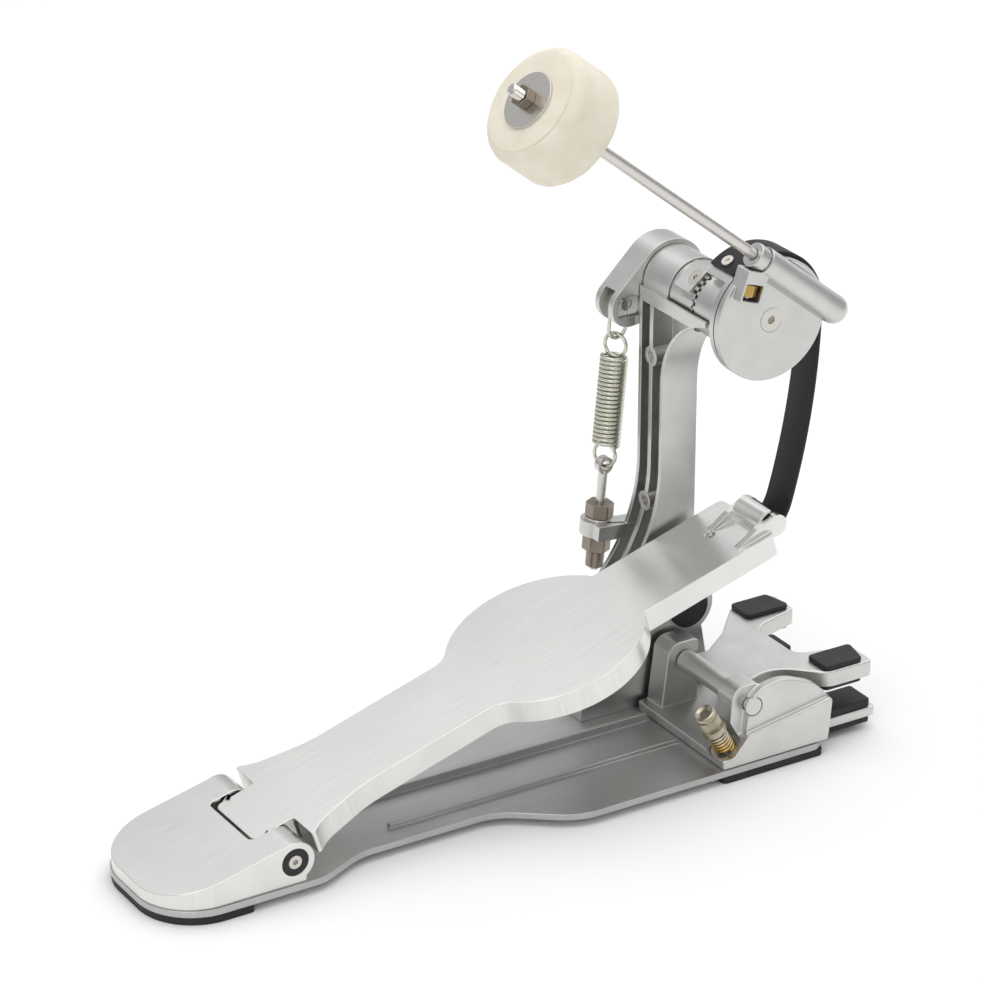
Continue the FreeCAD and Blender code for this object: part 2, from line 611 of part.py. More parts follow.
collar_radius = 16.5
collar = rod_x(collar_left_x, collar_right_x, axle_y, axle_z, collar_radius)
facet_tilt = math.radians(38)
facet_normal = Vector(0, -math.sin(facet_tilt), math.cos(facet_tilt))
facet_distance = 13.2
facet_start_x = collar_left_x + 8.0
facet = block(facet_start_x, collar_right_x + 1, -30, 30, facet_distance, 40)
facet.Placement = FreeCAD.Placement(axle_point, FreeCAD.Rotation(Vector(0, 0, 1), facet_normal))
collar = collar.cut(facet)
pad_top = 19.0
pad_half_width = 8.5
pad = block(facet_start_x - 2.0, collar_right_x, -pad_half_width, pad_half_width, 0, pad_top)
pad = pad.makeFillet(1.6, [edge for edge in pad.Edges if abs(edge.Length - pad_top) < 0.01])
pad.Placement = facet.Placement
collar = collar.fuse(pad)
teeth_count = 28
teeth_outer = 17.0
teeth_inner = 11.5
collar = collar.fuse(crown_teeth(collar_right_x, collar_right_x + teeth_depth, teeth_outer, teeth_inner, teeth_count, 0))
collar = collar.cut(rod_x(-60, 30, axle_y, axle_z, axle_radius))
collar_screw_x = collar_left_x + 15.0
collar_screw_head = axle_point + facet_normal * pad_top + Vector(collar_screw_x, 0, 0)
collar = collar.cut(Part.makeCone(4.6, 2.2, 2.4, collar_screw_head, facet_normal * -1))
collar = collar.cut(rod(collar_screw_head, facet_normal * -1, 2.2, pad_top - axle_radius))
parts["tooth_collar"] = collar.removeSplitter()
parts["collar_screw"] = countersunk(collar_screw_head, facet_normal * -1, 4.6, 2.2, pad_top - axle_radius, 2.6)

rocker_radius = 20.0
lobe_radius = 11.0
roller_spot = (roller_y, roller_z)
rocker = lever((axle_y, axle_z), rocker_radius, roller_spot, lobe_radius, rocker_left_x, rocker_right_x)
slot_half_width = 4.2
slot = block(spring_x - slot_half_width, spring_x + slot_half_width, roller_y - 20, roller_y + 26, roller_z - 30,
             roller_z + 8.5)
slot = slot.cut(rod_x(rocker_left_x, rocker_right_x, axle_y, axle_z, 17.0))
rocker = rocker.cut(slot)
window = side_plate([(roller_y - 7, roller_z - 5.5, 2), (roller_y + 6.5, roller_z - 5.5, 2),
                     (roller_y + 6.5, roller_z + 5.5, 2), (roller_y - 7, roller_z + 5.5, 2)],
                    spring_x, rocker_right_x + 1)
rocker = rocker.cut(window)
rocker = rocker.cut(rod_x(axle_left_x, rocker_right_x + 1, axle_y, axle_z, axle_radius))
roller_pin_radius = 1.75
roller_pin_left = rocker_left_x + 1.5
rocker = rocker.cut(rod_x(roller_pin_left, spring_x, roller_y, roller_z, roller_pin_radius))
parts["spring_rocker"] = rocker.removeSplitter()
roller_radius = 3.6
groove_radius = 2.3
roller_left = spring_x - slot_half_width
roller_right = spring_x + slot_half_width
roller = tube_x(roller_left, roller_right, roller_y, roller_z, roller_radius, roller_pin_radius)
roller_groove = tube_x(spring_x - 2.4, spring_x + 2.4, roller_y, roller_z, roller_radius + 1, groove_radius)
parts["rocker_roller"] = roller.cut(roller_groove)
parts["roller_pin"] = rod_x(roller_pin_left, roller_right, roller_y, roller_z, roller_pin_radius)

# ---------------------------------------------------------------- strap wheel
cam_plate = rod_x(hub_right_x, rim_right_x, wheel_y, wheel_z, wheel_radius)
rim_start = -14.0
rim_stop = 136.0
rim_wall = 4.5
cam_rim = rim_sector(wheel_radius - rim_wall, wheel_radius, rim_left_x, rim_right_x, rim_start, rim_stop)
cam_hub = rod_x(hub_left_x, hub_right_x + 1, axle_y, axle_z, teeth_outer)
cam = cam_plate.fuse([cam_rim, cam_hub])
cam = cam.fuse(crown_teeth(hub_left_x - teeth_depth, hub_left_x, teeth_outer, teeth_inner, teeth_count,
                           math.pi / teeth_count))
cam = cam.cut(rod_x(hub_left_x - 5, axle_right_x, axle_y, axle_z, axle_radius))
disc_screw_radius = 3.0
disc_screw_depth = 6.0
cam = cam.cut(rod_x(disc_face_x - disc_screw_depth - 6, disc_face_x, wheel_y, wheel_z, disc_screw_radius - 0.5))
parts["strap_wheel"] = cam.removeSplitter()
wrap_stop = 128.0
strap_outer = wheel_radius + strap_thickness
strap_wrap = rim_sector(wheel_radius, strap_outer, rim_left_x, rim_right_x, strap_pivot_angle, wrap_stop)
clip_turn = math.radians(wrap_stop - 8.0)
clip_out = Vector(0, math.cos(clip_turn), math.sin(clip_turn))
clip_screw_head = wheel_point + clip_out * (strap_outer + 1.6) + Vector(strap_middle_x, 0, 0)
clip_hole = rod(clip_screw_head, clip_out * -1, 1.5, 1.6 + strap_thickness + rim_wall)
parts["strap_wrap"] = strap_wrap.cut(clip_hole)
parts["strap_wheel"] = parts["strap_wheel"].cut(clip_hole)
parts["strap_screw"] = cap_screw(clip_screw_head, clip_out * -1, 3.2, 1.6, 1.5, strap_thickness + rim_wall - 0.2, 2.2)

# ---------------------------------------------------------------- hanging strap
toe_pin_place = raised_point(toe_pin_along, toe_pin_height)
half_strap = strap_thickness / 2
strap_middle_radius = wheel_radius + side_gap + half_strap
loop_radius = toe_barrel_radius + half_strap
bow_radius = 385.0                # the slack strap's forward bow
bend_above_pin = 9.0              # where it starts to curl in towards the pin
run_top = wheel_point + Vector(0, strap_middle_radius, 0)
bow_centre = run_top - Vector(0, bow_radius, 0)
bow_end = math.asin((toe_pin_place.z + bend_above_pin - wheel_z) / bow_radius)
bend_start = bow_centre + Vector(0, math.cos(bow_end), math.sin(bow_end)) * bow_radius
inward = (bow_centre - bend_start).normalize()
from_pin = bend_start - Vector(0, toe_pin_place.y, toe_pin_place.z)
bend_radius = (loop_radius ** 2 - from_pin.Length ** 2) / (2 * (inward.dot(from_pin) + loop_radius))
bend_centre = bend_start + inward * bend_radius
loop_turn = math.atan2(toe_pin_place.z - bend_centre.z, toe_pin_place.y - bend_centre.y)


def strap_arc(centre, radius, start, stop):
    """A strap of the full width along an arc in the YZ plane, angles from straight ahead."""
    middle = (start + stop) / 2
    rings = []
    for offset in (half_strap, -half_strap):
        rings.append([centre + Vector(0, math.cos(turn), math.sin(turn)) * (radius + offset)
                      for turn in (start, middle, stop)])
    outer, inner = rings
    wire = Part.Wire([
        Part.Arc(*outer).toShape(), Part.LineSegment(outer[2], inner[2]).toShape(),
        Part.Arc(inner[2], inner[1], inner[0]).toShape(), Part.LineSegment(inner[0], outer[0]).toShape(),
    ])
    band = Part.Face(wire)
    band.translate(Vector(rim_left_x, 0, 0))
    return band.extrude(Vector(strap_width, 0, 0))


bend_room = 4.0                  # degrees of rim left free under the wrap, where the strap bends
strap_run = strap_arc(wheel_point, strap_middle_radius, 0, math.radians(strap_pivot_angle - bend_room))
strap_run = strap_run.fuse([
    strap_arc(bow_centre, bow_radius, bow_end, 0),
    strap_arc(bend_centre, bend_radius, loop_turn, bow_end),
    tube_x(rim_left_x, rim_right_x, toe_pin_place.y, toe_pin_place.z, loop_radius + half_strap, toe_barrel_radius),
])
parts["strap_run"] = strap_run.removeSplitter()

# ---------------------------------------------------------------- disc with the beater holder
hood_radius = 7.5
hood_top = 27.0
hood_low = -29.0
disc = rod_x(disc_back_x, disc_face_x, wheel_y, wheel_z, wheel_radius)
hood = rod(shaft_foot + shaft_up * hood_low, shaft_up, hood_radius, hood_top - hood_low)
hood = hood.fuse(Part.makeSphere(hood_radius, shaft_foot + shaft_up * hood_low))
bolt_lean = math.radians(20)
bolt_down = shaft_side * -math.cos(bolt_lean) + shaft_up * -math.sin(bolt_lean)
bolt_across = Vector(0, -bolt_down.z, bolt_down.y)
eye_centre = shaft_foot + shaft_up * 30.5
boss_length = 23.0
boss_half = 6.5
boss_corners = []
for distance, side in ((6, -1), (boss_length, -1), (boss_length, 1), (6, 1)):
    spot = eye_centre + bolt_down * distance + bolt_across * (side * boss_half)
    boss_corners.append((spot.y, spot.z, 1.5))
bolt_boss = side_plate(boss_corners, disc_back_x, shaft_x + 5.0)
disc = disc.fuse([hood, bolt_boss])
disc = disc.cut(block(-60, disc_back_x, 200, 420, 100, 400))
shaft_radius = shaft_diameter / 2
disc = disc.cut(rod(shaft_foot + shaft_up * (hood_low + 2), shaft_up, shaft_radius + running, 80))
eye_radius = 6.5
eye_half = 3.5
eye_seat = rod(eye_centre - shaft_up * (eye_half + 0.2), shaft_up, eye_radius + 0.3, 20)
disc = disc.cut(eye_seat)
nut_flats = 8.0
nut_length = 6.0
window_corners = []
window_start = 13.0
for distance, side in ((window_start, -1), (window_start + 8.5, -1), (window_start + 8.5, 1), (window_start, 1)):
    spot = eye_centre + bolt_down * distance + bolt_across * (side * 5.1)
    window_corners.append((spot.y, spot.z, 0.8))
disc = disc.cut(side_plate(window_corners, disc_back_x - 1, shaft_x + 10))
bolt_shank = 2.0
disc = disc.cut(rod(eye_centre, bolt_down, bolt_shank, window_start + 1))
disc = disc.cut(Part.makeCone(6.3, 3.0, 3.3, Vector(disc_face_x, wheel_y, wheel_z), axis_x * -1))
disc = disc.cut(rod_x(disc_back_x - 1, disc_face_x, wheel_y, wheel_z, disc_screw_radius))
parts["beater_disc"] = disc.removeSplitter()
disc_screw = Part.makeCone(6.3, 3.0, 3.3, Vector(disc_face_x, wheel_y, wheel_z), axis_x * -1)
disc_screw = disc_screw.fuse(rod_x(disc_back_x - side_gap, disc_face_x - 1, wheel_y, wheel_z, disc_screw_radius))
disc_screw = disc_screw.fuse(rod_x(rim_right_x - 3, disc_face_x - 1, wheel_y, wheel_z, disc_screw_radius - 0.5 - running))
parts["disc_screw"] = disc_screw.cut(
    hexagon(Vector(disc_face_x, wheel_y, wheel_z), axis_x * -1, 4.0, 2.4)).removeSplitter()
eye = rod(eye_centre - shaft_up * eye_half, shaft_up, eye_radius, eye_half * 2)
eye = eye.fuse(rod(eye_centre, bolt_down, bolt_shank, window_start + 8.0))
eye = eye.cut(rod(eye_centre - shaft_up * 8, shaft_up, shaft_radius + running, 16))
eye = eye.cut(block(-60, disc_back_x, 200, 420, 100, 400))
parts["eye_bolt"] = eye.removeSplitter()
nut = hexagon(eye_centre + bolt_down * (window_start + 0.6), bolt_down, nut_flats, nut_length)
parts["eye_bolt_nut"] = nut.cut(rod(eye_centre, bolt_down, bolt_shank, 40))

# ---------------------------------------------------------------- beater
shaft_low = -17.0
washer_thickness = 1.8
nut_thickness = 5.0
thread_reach = 6.0
shaft_top = head_reach + washer_thickness + nut_thickness + thread_reach
parts["beater_shaft"] = rod(shaft_foot + shaft_up * shaft_low, shaft_up, shaft_radius, shaft_top - shaft_low)
head_back = head_reach - head_length
head = rod(shaft_foot + shaft_up * head_back, shaft_up, head_radius, head_length)
rim_edges = [edge for edge in head.Edges if abs(edge.Length - 2 * math.pi * head_radius) < 0.01]
head = head.makeFillet(6.5, rim_edges)
parts["beater_head"] = head.cut(rod(shaft_foot, shaft_up, shaft_radius, 400))
washer = rod(shaft_foot + shaft_up * head_reach, shaft_up, 14.5, washer_thickness)
parts["beater_washer"] = washer.cut(rod(shaft_foot, shaft_up, shaft_radius, 400))
beater_nut = hexagon(shaft_foot + shaft_up * (head_reach + washer_thickness), shaft_up, 10.0, nut_thickness)
parts["beater_nut"] = beater_nut.cut(rod(shaft_foot, shaft_up, shaft_radius, 400))
back_washer = rod(shaft_foot + shaft_up * (head_back - 1.2), shaft_up, 7.0, 1.2)
parts["beater_back_washer"] = back_washer.cut(rod(shaft_foot, shaft_up, shaft_radius, 400))

# ---------------------------------------------------------------- return spring and its tension rod
wire_radius = 1.0
link_half_width = 5.0
link_top = -4.6
link_bottom = 19.0


def oval_link(top, bottom, half_width, radius):
    """A closed wire link in the YZ plane, hanging along the spring's line."""
    path_points = []
    for distance, side in ((top + half_width, -1), (bottom - half_width, -1), (bottom - half_width, 1),
                           (top + half_width, 1)):
        path_points.append(along_spring(distance) + Vector(0, -spring_down.z, spring_down.y) * (side * half_width))
    low_end = along_spring(bottom)
    high_end = along_spring(top)
    path = Part.Wire([
        Part.LineSegment(path_points[0], path_points[1]).toShape(),
        Part.Arc(path_points[1], low_end, path_points[2]).toShape(),
        Part.LineSegment(path_points[2], path_points[3]).toShape(),
        Part.Arc(path_points[3], high_end, path_points[0]).toShape(),
    ])
    circle = Part.Wire([Part.Circle(path_points[0], spring_down, radius).toShape()])
    return path.makePipeShell([circle], True, False)


hook = oval_link(link_top, link_bottom, link_half_width, wire_radius)
parts["spring_hook"] = hook
spring_top = 27.5
spring_bottom = 78.0
end_loop_radius = 4.6
coil_tube = rod(along_spring(spring_top), spring_down, spring_diameter / 2, spring_bottom - spring_top)
coil_tube = coil_tube.cut(rod(along_spring(spring_top - 1), spring_down, spring_diameter / 2 - 2, 60))
end_bars = []
for at, sign in ((spring_top, -1), (spring_bottom, 1)):
    centre = along_spring(at + sign * end_loop_radius)
    ring = Part.makeTorus(end_loop_radius + 1.6, wire_radius, centre, Vector(0, 1, 0))
    bar = rod(along_spring(at + (0 if sign < 0 else -wire_radius * 2)) - axis_x * (spring_diameter / 2 - 1.2),
              axis_x, wire_radius, spring_diameter - 2.4)
    bar.translate(spring_down * (wire_radius * (1 if sign < 0 else 1)))
    end_bars.extend([ring, bar])
parts["return_spring"] = coil_tube.fuse(end_bars).removeSplitter()

rod_eye = spring_bottom + 2 * end_loop_radius + 1.0
eye_plate = rod(along_spring(rod_eye) - axis_x * 2.2, axis_x, 4.6, 4.4)
rod_end = bracket_drop + 24.0
tension_rod = eye_plate.fuse(rod(along_spring(rod_eye + 3), spring_down, tension_rod_radius, rod_end - rod_eye - 3))
tension_rod = tension_rod.cut(rod(along_spring(rod_eye) - axis_x * 5, axis_x, 2.6, 10))
parts["tension_rod"] = tension_rod.removeSplitter()
nut_height = 8.0
upper_washer = 1.2
half_bracket = bracket_thickness / 2
upper_nut_start = bracket_drop - half_bracket - upper_washer - nut_height
thread_space = rod(along_spring(rod_eye), spring_down, tension_rod_radius, 80)
upper_nut = hexagon(along_spring(upper_nut_start), spring_down, tension_nut_flats, nut_height)
parts["tension_nut_upper"] = upper_nut.cut(thread_space)
washer = rod(along_spring(upper_nut_start + nut_height), spring_down, 7.2, upper_washer)
low_washer = rod(along_spring(bracket_drop + half_bracket), spring_down, 7.2, upper_washer)
parts["tension_washers"] = Part.makeCompound([washer.cut(thread_space), low_washer.cut(thread_space)])
lower_nut = hexagon(along_spring(bracket_drop + half_bracket + upper_washer), spring_down, tension_nut_flats, nut_height)
sleeve = rod(along_spring(bracket_drop + half_bracket + upper_washer + nut_height), spring_down, 4.8, 9.0)
parts["tension_nut_lower"] = lower_nut.fuse(sleeve).cut(thread_space).removeSplitter()

# ---------------------------------------------------------------- front casting and lower jaw
lower_jaw_top = 12.6
tip_front_y = 386.5
tip_rear_y = 352.5
tip_outer = 44.5
tip_inner = 25.5
casting_rear = 285.0
floor_left = -25.0
floor_right = base_front_half_width - 1
casting_floor = plate([(floor_left, casting_rear, 2), (floor_right, casting_rear, 2), (floor_right, 350.0, 3),
                       (tip_outer, 354.0, 4), (tip_outer, tip_front_y, 3), (tip_inner, tip_front_y, 3),
                       (tip_inner - 6, 356.0, 9), (-tip_inner + 6, 356.0, 9), (-tip_inner, tip_front_y, 3),
                       (-tip_outer, tip_front_y, 3), (-tip_outer, 350.0, 6), (floor_left, 344.0, 6)],
                      base_top, lower_jaw_top)
cheek_inner = 45.5
cheek_shoulder = side_plate([(287.0, base_top, 0), (350.0, base_top, 0), (352.0, 31.5, 2), (301.0, 23.5, 3)],
                            33.0, floor_right)
fan = side_plate([(300.0, 20.0, 0), (352.0, 20.0, 0), (354.0, 27.0, 2), (343.0, 40.5, 22), (322.0, 49.0, 26),
                  (303.0, 45.0, 12)], cheek_inner, floor_right - 3.0)
right_ear = side_plate([(292.0, base_top, 2), (313.0, base_top, 2), (313.0, 47.5, 6), (295.0, 47.5, 7)],
                       33.0, cheek_inner + 1)
left_ear = side_plate([(290.0, base_top, 2), (315.0, base_top, 2), (315.0, 47.5, 6), (295.0, 47.5, 7)],
                      floor_left, -11.0)
casting = casting_floor.fuse([cheek_shoulder, fan, right_ear, left_ear])
jaw_sweep = block(-60, cheek_inner - 1.2, 313.0, 420, lower_jaw_top, 80)
casting = casting.cut(jaw_sweep)
pivot_radius = 3.5
casting = casting.cut(rod_x(floor_left + 4, floor_right - 5, clamp_pivot_y, clamp_pivot_z, pivot_radius))
boss_disc = rod_x(floor_right - 4.0, floor_right - 2.4, clamp_pivot_y, clamp_pivot_z, 5.0)
casting = casting.fuse(boss_disc)
screw_tilt = math.radians(30)
screw_up = Vector(0, -math.sin(screw_tilt), math.cos(screw_tilt))
screw_seat = Vector(43.5, 293.0, 14.0)
casting = casting.cut(rod(screw_seat, screw_up, 8.2, 40))
screw_radius = 2.5
screw_depth = 6.0
casting = casting.cut(rod(screw_seat - screw_up * screw_depth, screw_up, screw_radius + running, 30))
parts["front_casting"] = casting.removeSplitter()
casting_screw_places = [(-18.0, 335.0), (20.0, 335.0), (48.0, 330.0)]
casting_screws = []
for x, y in casting_screw_places:
    bore = rod(Vector(x, y, base_bottom), Vector(0, 0, 1), 1.8, 6.5)
    cone = Part.makeCone(3.6, 1.8, 1.8, Vector(x, y, base_bottom), Vector(0, 0, 1))
    parts["base_plate"] = parts["base_plate"].cut(bore).cut(cone)
    parts["front_casting"] = parts["front_casting"].cut(bore)
    casting_screws.append(countersunk(Vector(x, y, base_bottom), Vector(0, 0, 1), 3.6, 1.8, 6.5, 2.2))
parts["casting_screws"] = Part.makeCompound(casting_screws)
lower_pad_height = 4.9
pad_corners = [(tip_inner + 0.5, tip_rear_y + 3, 2), (tip_outer - 0.8, tip_rear_y + 3, 2),
               (tip_outer - 0.8, tip_front_y - 3, 2), (tip_inner + 0.5, tip_front_y - 3, 2)]
left_pad_corners = [(-u, v, r) for u, v, r in reversed(pad_corners)]
lower_pad_top = lower_jaw_top + lower_pad_height
parts["lower_jaw_pads"] = Part.makeCompound(
    [plate(corners, lower_jaw_top, lower_pad_top) for corners in (pad_corners, left_pad_corners)])
pad_under = 3.5
parts["lower_jaw_feet"] = Part.makeCompound(
    [plate(corners, base_top - pad_under, base_top) for corners in (pad_corners, left_pad_corners)])
parts["clamp_pivot"] = rod_x(floor_left + 4, floor_right - 5, clamp_pivot_y, clamp_pivot_z, pivot_radius)

# ---------------------------------------------------------------- upper jaw
jaw_low = lower_pad_top + hoop_gap + 2.0
jaw_top = jaw_low + jaw_thickness
jaw = plate([(30.0, clamp_pivot_y - 1, 2), (30.0, 316.0, 10), (24.0, 335.0, 20), (tip_outer, 356.0, 10),
             (tip_outer, tip_front_y - 3, 3), (tip_inner, tip_front_y - 3, 3), (tip_inner - 8, 354.0, 8),
             (-tip_inner + 8, 354.0, 8), (-tip_inner, tip_front_y - 3, 3), (-tip_outer, tip_front_y - 3, 3),
             (-tip_outer, 356.0, 10), (-22.0, 335.0, 14), (-9.5, 318.0, 4), (-9.5, clamp_pivot_y - 1, 2)],
            jaw_low, jaw_top)
barrel_radius = 5.6
barrel_left = -11.0 + side_gap
barrel_right = 33.0 - side_gap
jaw = jaw.cut(block(-60, 60, clamp_pivot_y - 20, clamp_pivot_y, 0, 80))
jaw = jaw.cut(block(barrel_right, 60, clamp_pivot_y - 20, 314.0, 0, 80))
jaw = jaw.fuse(rod_x(barrel_left, barrel_right, clamp_pivot_y, clamp_pivot_z, barrel_radius))
jaw = jaw.cut(rod_x(-60, 60, clamp_pivot_y, clamp_pivot_z, pivot_radius + running))
jaw_pad_height = 2.7
upper_pad_under = 2.0
top_pads = []
under_pads = []
upper_corners = [(tip_inner + 1.0, tip_rear_y + 2, 2.5), (tip_outer - 1.2, tip_rear_y + 2, 2.5),
                 (tip_outer - 1.2, tip_front_y - 9, 2.5), (tip_inner + 1.0, tip_front_y - 5, 2.5)]
left_corners = [(-u, v, r) for u, v, r in reversed(upper_corners)]
for corners in (upper_corners, left_corners):
    top_pads.append(plate(corners, jaw_top, jaw_top + jaw_pad_height))
    under_pads.append(plate(corners, jaw_low - upper_pad_under, jaw_low))
parts["upper_jaw"] = jaw.removeSplitter()
parts["upper_jaw_top_pads"] = Part.makeCompound(top_pads)
parts["upper_jaw_under_pads"] = Part.makeCompound(under_pads)

# ---------------------------------------------------------------- clamp thumb screw
knob_radius = 5.6
knob_length = 13.0
knob_start = 14.0
screw = rod(screw_seat - screw_up * (screw_depth - 2.0), screw_up, screw_radius, knob_start + screw_depth - 2.0)
parts["clamp_screw"] = screw
knob = rod(screw_seat + screw_up * knob_start, screw_up, knob_radius, knob_length)
knob = knob.fuse(rod(screw_seat + screw_up * knob_start, screw_up, knob_radius + 1.2, 3.2))
parts["clamp_knob"] = knob.removeSplitter()
clamp_spring = rod(screw_seat, screw_up, 6.2, knob_start)
parts["clamp_spring"] = clamp_spring.cut(rod(screw_seat, screw_up, 4.4, knob_start))

# ---------------------------------------------------------------- write every piece
os.makedirs("parts", exist_ok=True)
for name, shape in parts.items():
    shape.exportStep("parts/" + name + ".step")
    box = shape.BoundBox
    print("%-22s solids %d valid %s vol %9.1f  x %.1f %.1f y %.1f %.1f z %.1f %.1f" % (
        name, len(shape.Solids), shape.isValid(), shape.Volume, box.XMin, box.XMax, box.YMin, box.YMax, box.ZMin,
        box.ZMax))
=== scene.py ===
import json
import math

import bmesh
import bpy
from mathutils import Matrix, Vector


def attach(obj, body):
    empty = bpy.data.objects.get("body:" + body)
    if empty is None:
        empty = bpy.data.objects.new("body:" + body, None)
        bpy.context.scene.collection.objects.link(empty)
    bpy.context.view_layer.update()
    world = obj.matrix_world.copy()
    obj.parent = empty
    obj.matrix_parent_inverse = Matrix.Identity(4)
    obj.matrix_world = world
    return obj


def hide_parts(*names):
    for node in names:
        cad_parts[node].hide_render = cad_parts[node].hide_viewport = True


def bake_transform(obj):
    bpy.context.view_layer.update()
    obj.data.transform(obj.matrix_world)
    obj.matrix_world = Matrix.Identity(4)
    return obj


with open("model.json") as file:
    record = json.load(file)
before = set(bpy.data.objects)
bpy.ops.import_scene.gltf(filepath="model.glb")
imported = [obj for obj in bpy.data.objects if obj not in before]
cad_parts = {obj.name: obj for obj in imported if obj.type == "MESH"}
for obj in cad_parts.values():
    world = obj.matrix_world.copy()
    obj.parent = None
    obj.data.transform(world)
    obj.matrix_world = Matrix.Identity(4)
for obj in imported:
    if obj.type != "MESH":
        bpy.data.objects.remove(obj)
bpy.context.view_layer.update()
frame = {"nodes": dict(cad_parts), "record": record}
bodyOfNode = {node: body for body, nodes in frame["record"]["behaviour"]["bodies"].items() for node in nodes}

# places and directions that several pieces share, in metres
mergeGap = 0.000005
wheelCentre = Vector((0, 0.3305, 0.2315))
springHang = Vector((-0.058, 0.29222, 0.222))
springLean = math.radians(5.4)
springUp = Vector((0, math.sin(springLean), math.cos(springLean)))
beaterTilt = math.radians(51.5)
shaftUp = Vector((0, -math.sin(beaterTilt), math.cos(beaterTilt)))
shaftOffset = 0.0215   # from the middle to the right, and from the wheel's centre up to the shaft's line
shaftSide = Vector((1, math.cos(beaterTilt), math.sin(beaterTilt)))
shaftFoot = wheelCentre + shaftSide * shaftOffset
screwTilt = math.radians(30)
screwUp = Vector((0, -math.sin(screwTilt), math.cos(screwTilt)))
screwSeat = Vector((0.0435, 0.293, 0.014))


# working helpers
def deselectAll():
    if bpy.context.object and bpy.context.object.mode != "OBJECT":
        bpy.ops.object.mode_set(mode="OBJECT")
    bpy.ops.object.select_all(action="DESELECT")


def activate(piece):
    deselectAll()
    piece.select_set(True)
    bpy.context.view_layer.objects.active = piece


def editPiece(piece):
    activate(piece)
    bpy.ops.object.mode_set(mode="EDIT")


# selects in edit mode every vertex, edge or face that passes the test
def pick(piece, kind, test):
    bpy.ops.mesh.select_all(action="DESELECT")
    bpy.ops.mesh.select_mode(type=kind)
    shape = bmesh.from_edit_mesh(piece.data)
    for item in {"VERT": shape.verts, "EDGE": shape.edges, "FACE": shape.faces}[kind]:
        if test(item):
            item.select_set(True)
    shape.select_flush_mode()
    bmesh.update_edit_mesh(piece.data)


def applyModifier(piece, kind, **settings):
    activate(piece)
    modifier = piece.modifiers.new(kind.lower(), kind)
    for name, value in settings.items():
        setattr(modifier, name, value)
    bpy.ops.object.modifier_apply(modifier=modifier.name)


# from the drawing position at the origin, along Z, to its place, turned about X
def settle(piece, place, turn):
    activate(piece)
    piece.location = place
    piece.rotation_euler = (turn, 0, 0)
    bpy.ops.object.transform_apply(location=True, rotation=True, scale=True)


def closeShell(piece):
    editPiece(piece)
    bpy.ops.mesh.select_all(action="SELECT")
    bpy.ops.mesh.remove_doubles(threshold=mergeGap)
    bpy.ops.mesh.fill_holes(sides=0)
    bpy.ops.mesh.select_all(action="SELECT")
    bpy.ops.mesh.normals_make_consistent(inside=False)
    bpy.ops.object.mode_set(mode="OBJECT")


def smoothPiece(piece, angle=40):
    activate(piece)
    bpy.ops.object.shade_smooth_by_angle(angle=math.radians(angle))


def finishPiece(piece, name, finish, body, replaced):
    piece.name = name
    piece.data.name = name
    piece.data.materials.clear()
    piece.data.materials.append(finish)
    if replaced:
        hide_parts(*replaced)
    if body:
        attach(piece, body)


# sRGB hex as linear colour
def hexColour(text):
    channels = []
    for start in (1, 3, 5):
        value = int(text[start:start + 2], 16) / 255
        channels.append(value / 12.92 if value <= 0.04045 else ((value + 0.055) / 1.055) ** 2.4)
    return (*channels, 1.0)


def addNode(tree, kind, settings=None, inputs=None):
    node = tree.nodes.new("ShaderNode" + kind)
    for name, value in (settings or {}).items():
        setattr(node, name, value)
    for name, value in (inputs or {}).items():
        if isinstance(value, bpy.types.NodeSocket):
            tree.links.new(value, node.inputs[name])
        else:
            node.inputs[name].default_value = value
    return node


def startFinish(name, surfaceInputs):
    finish = bpy.data.materials.new(name)
    finish.use_nodes = True
    tree = finish.node_tree
    tree.nodes.clear()
    surface = addNode(tree, "BsdfPrincipled", inputs=surfaceInputs)
    addNode(tree, "OutputMaterial", inputs={"Surface": surface.outputs["BSDF"]})
    place = addNode(tree, "TexCoord").outputs["Object"]
    return finish, tree, surface, place


# shot-blasted aluminium casting: light grey, soft gloss, a fine even grain and faint clouding
def castAluminium(name, colours, roughness, grainMm, grainHeight):
    finish, tree, surface, place = startFinish(name, {"Metallic": 1.0})
    # clouds 18 mm across
    clouds = addNode(tree, "TexNoise", inputs={"Vector": place, "Scale": 1 / 0.018, "Detail": 3.0})
    tint = addNode(tree, "ValToRGB", inputs={"Fac": clouds.outputs["Fac"]})
    tint.color_ramp.elements[0].position = 0.35
    tint.color_ramp.elements[1].position = 0.65
    tint.color_ramp.elements[0].color = hexColour(colours[0])
    tint.color_ramp.elements[1].color = hexColour(colours[1])
    tree.links.new(tint.outputs["Color"], surface.inputs["Base Color"])
    wear = addNode(tree, "MapRange", inputs={"Value": clouds.outputs["Fac"], "To Min": roughness - 0.03,
                                             "To Max": roughness + 0.03})
    tree.links.new(wear.outputs["Result"], surface.inputs["Roughness"])
    grain = addNode(tree, "TexNoise", inputs={"Vector": place, "Scale": 1000 / grainMm, "Detail": 2.0})
    relief = addNode(tree, "Bump", inputs={"Height": grain.outputs["Fac"], "Strength": 0.35,
                                           "Distance": grainHeight / 1000})
    tree.links.new(relief.outputs["Normal"], surface.inputs["Normal"])
    return finish


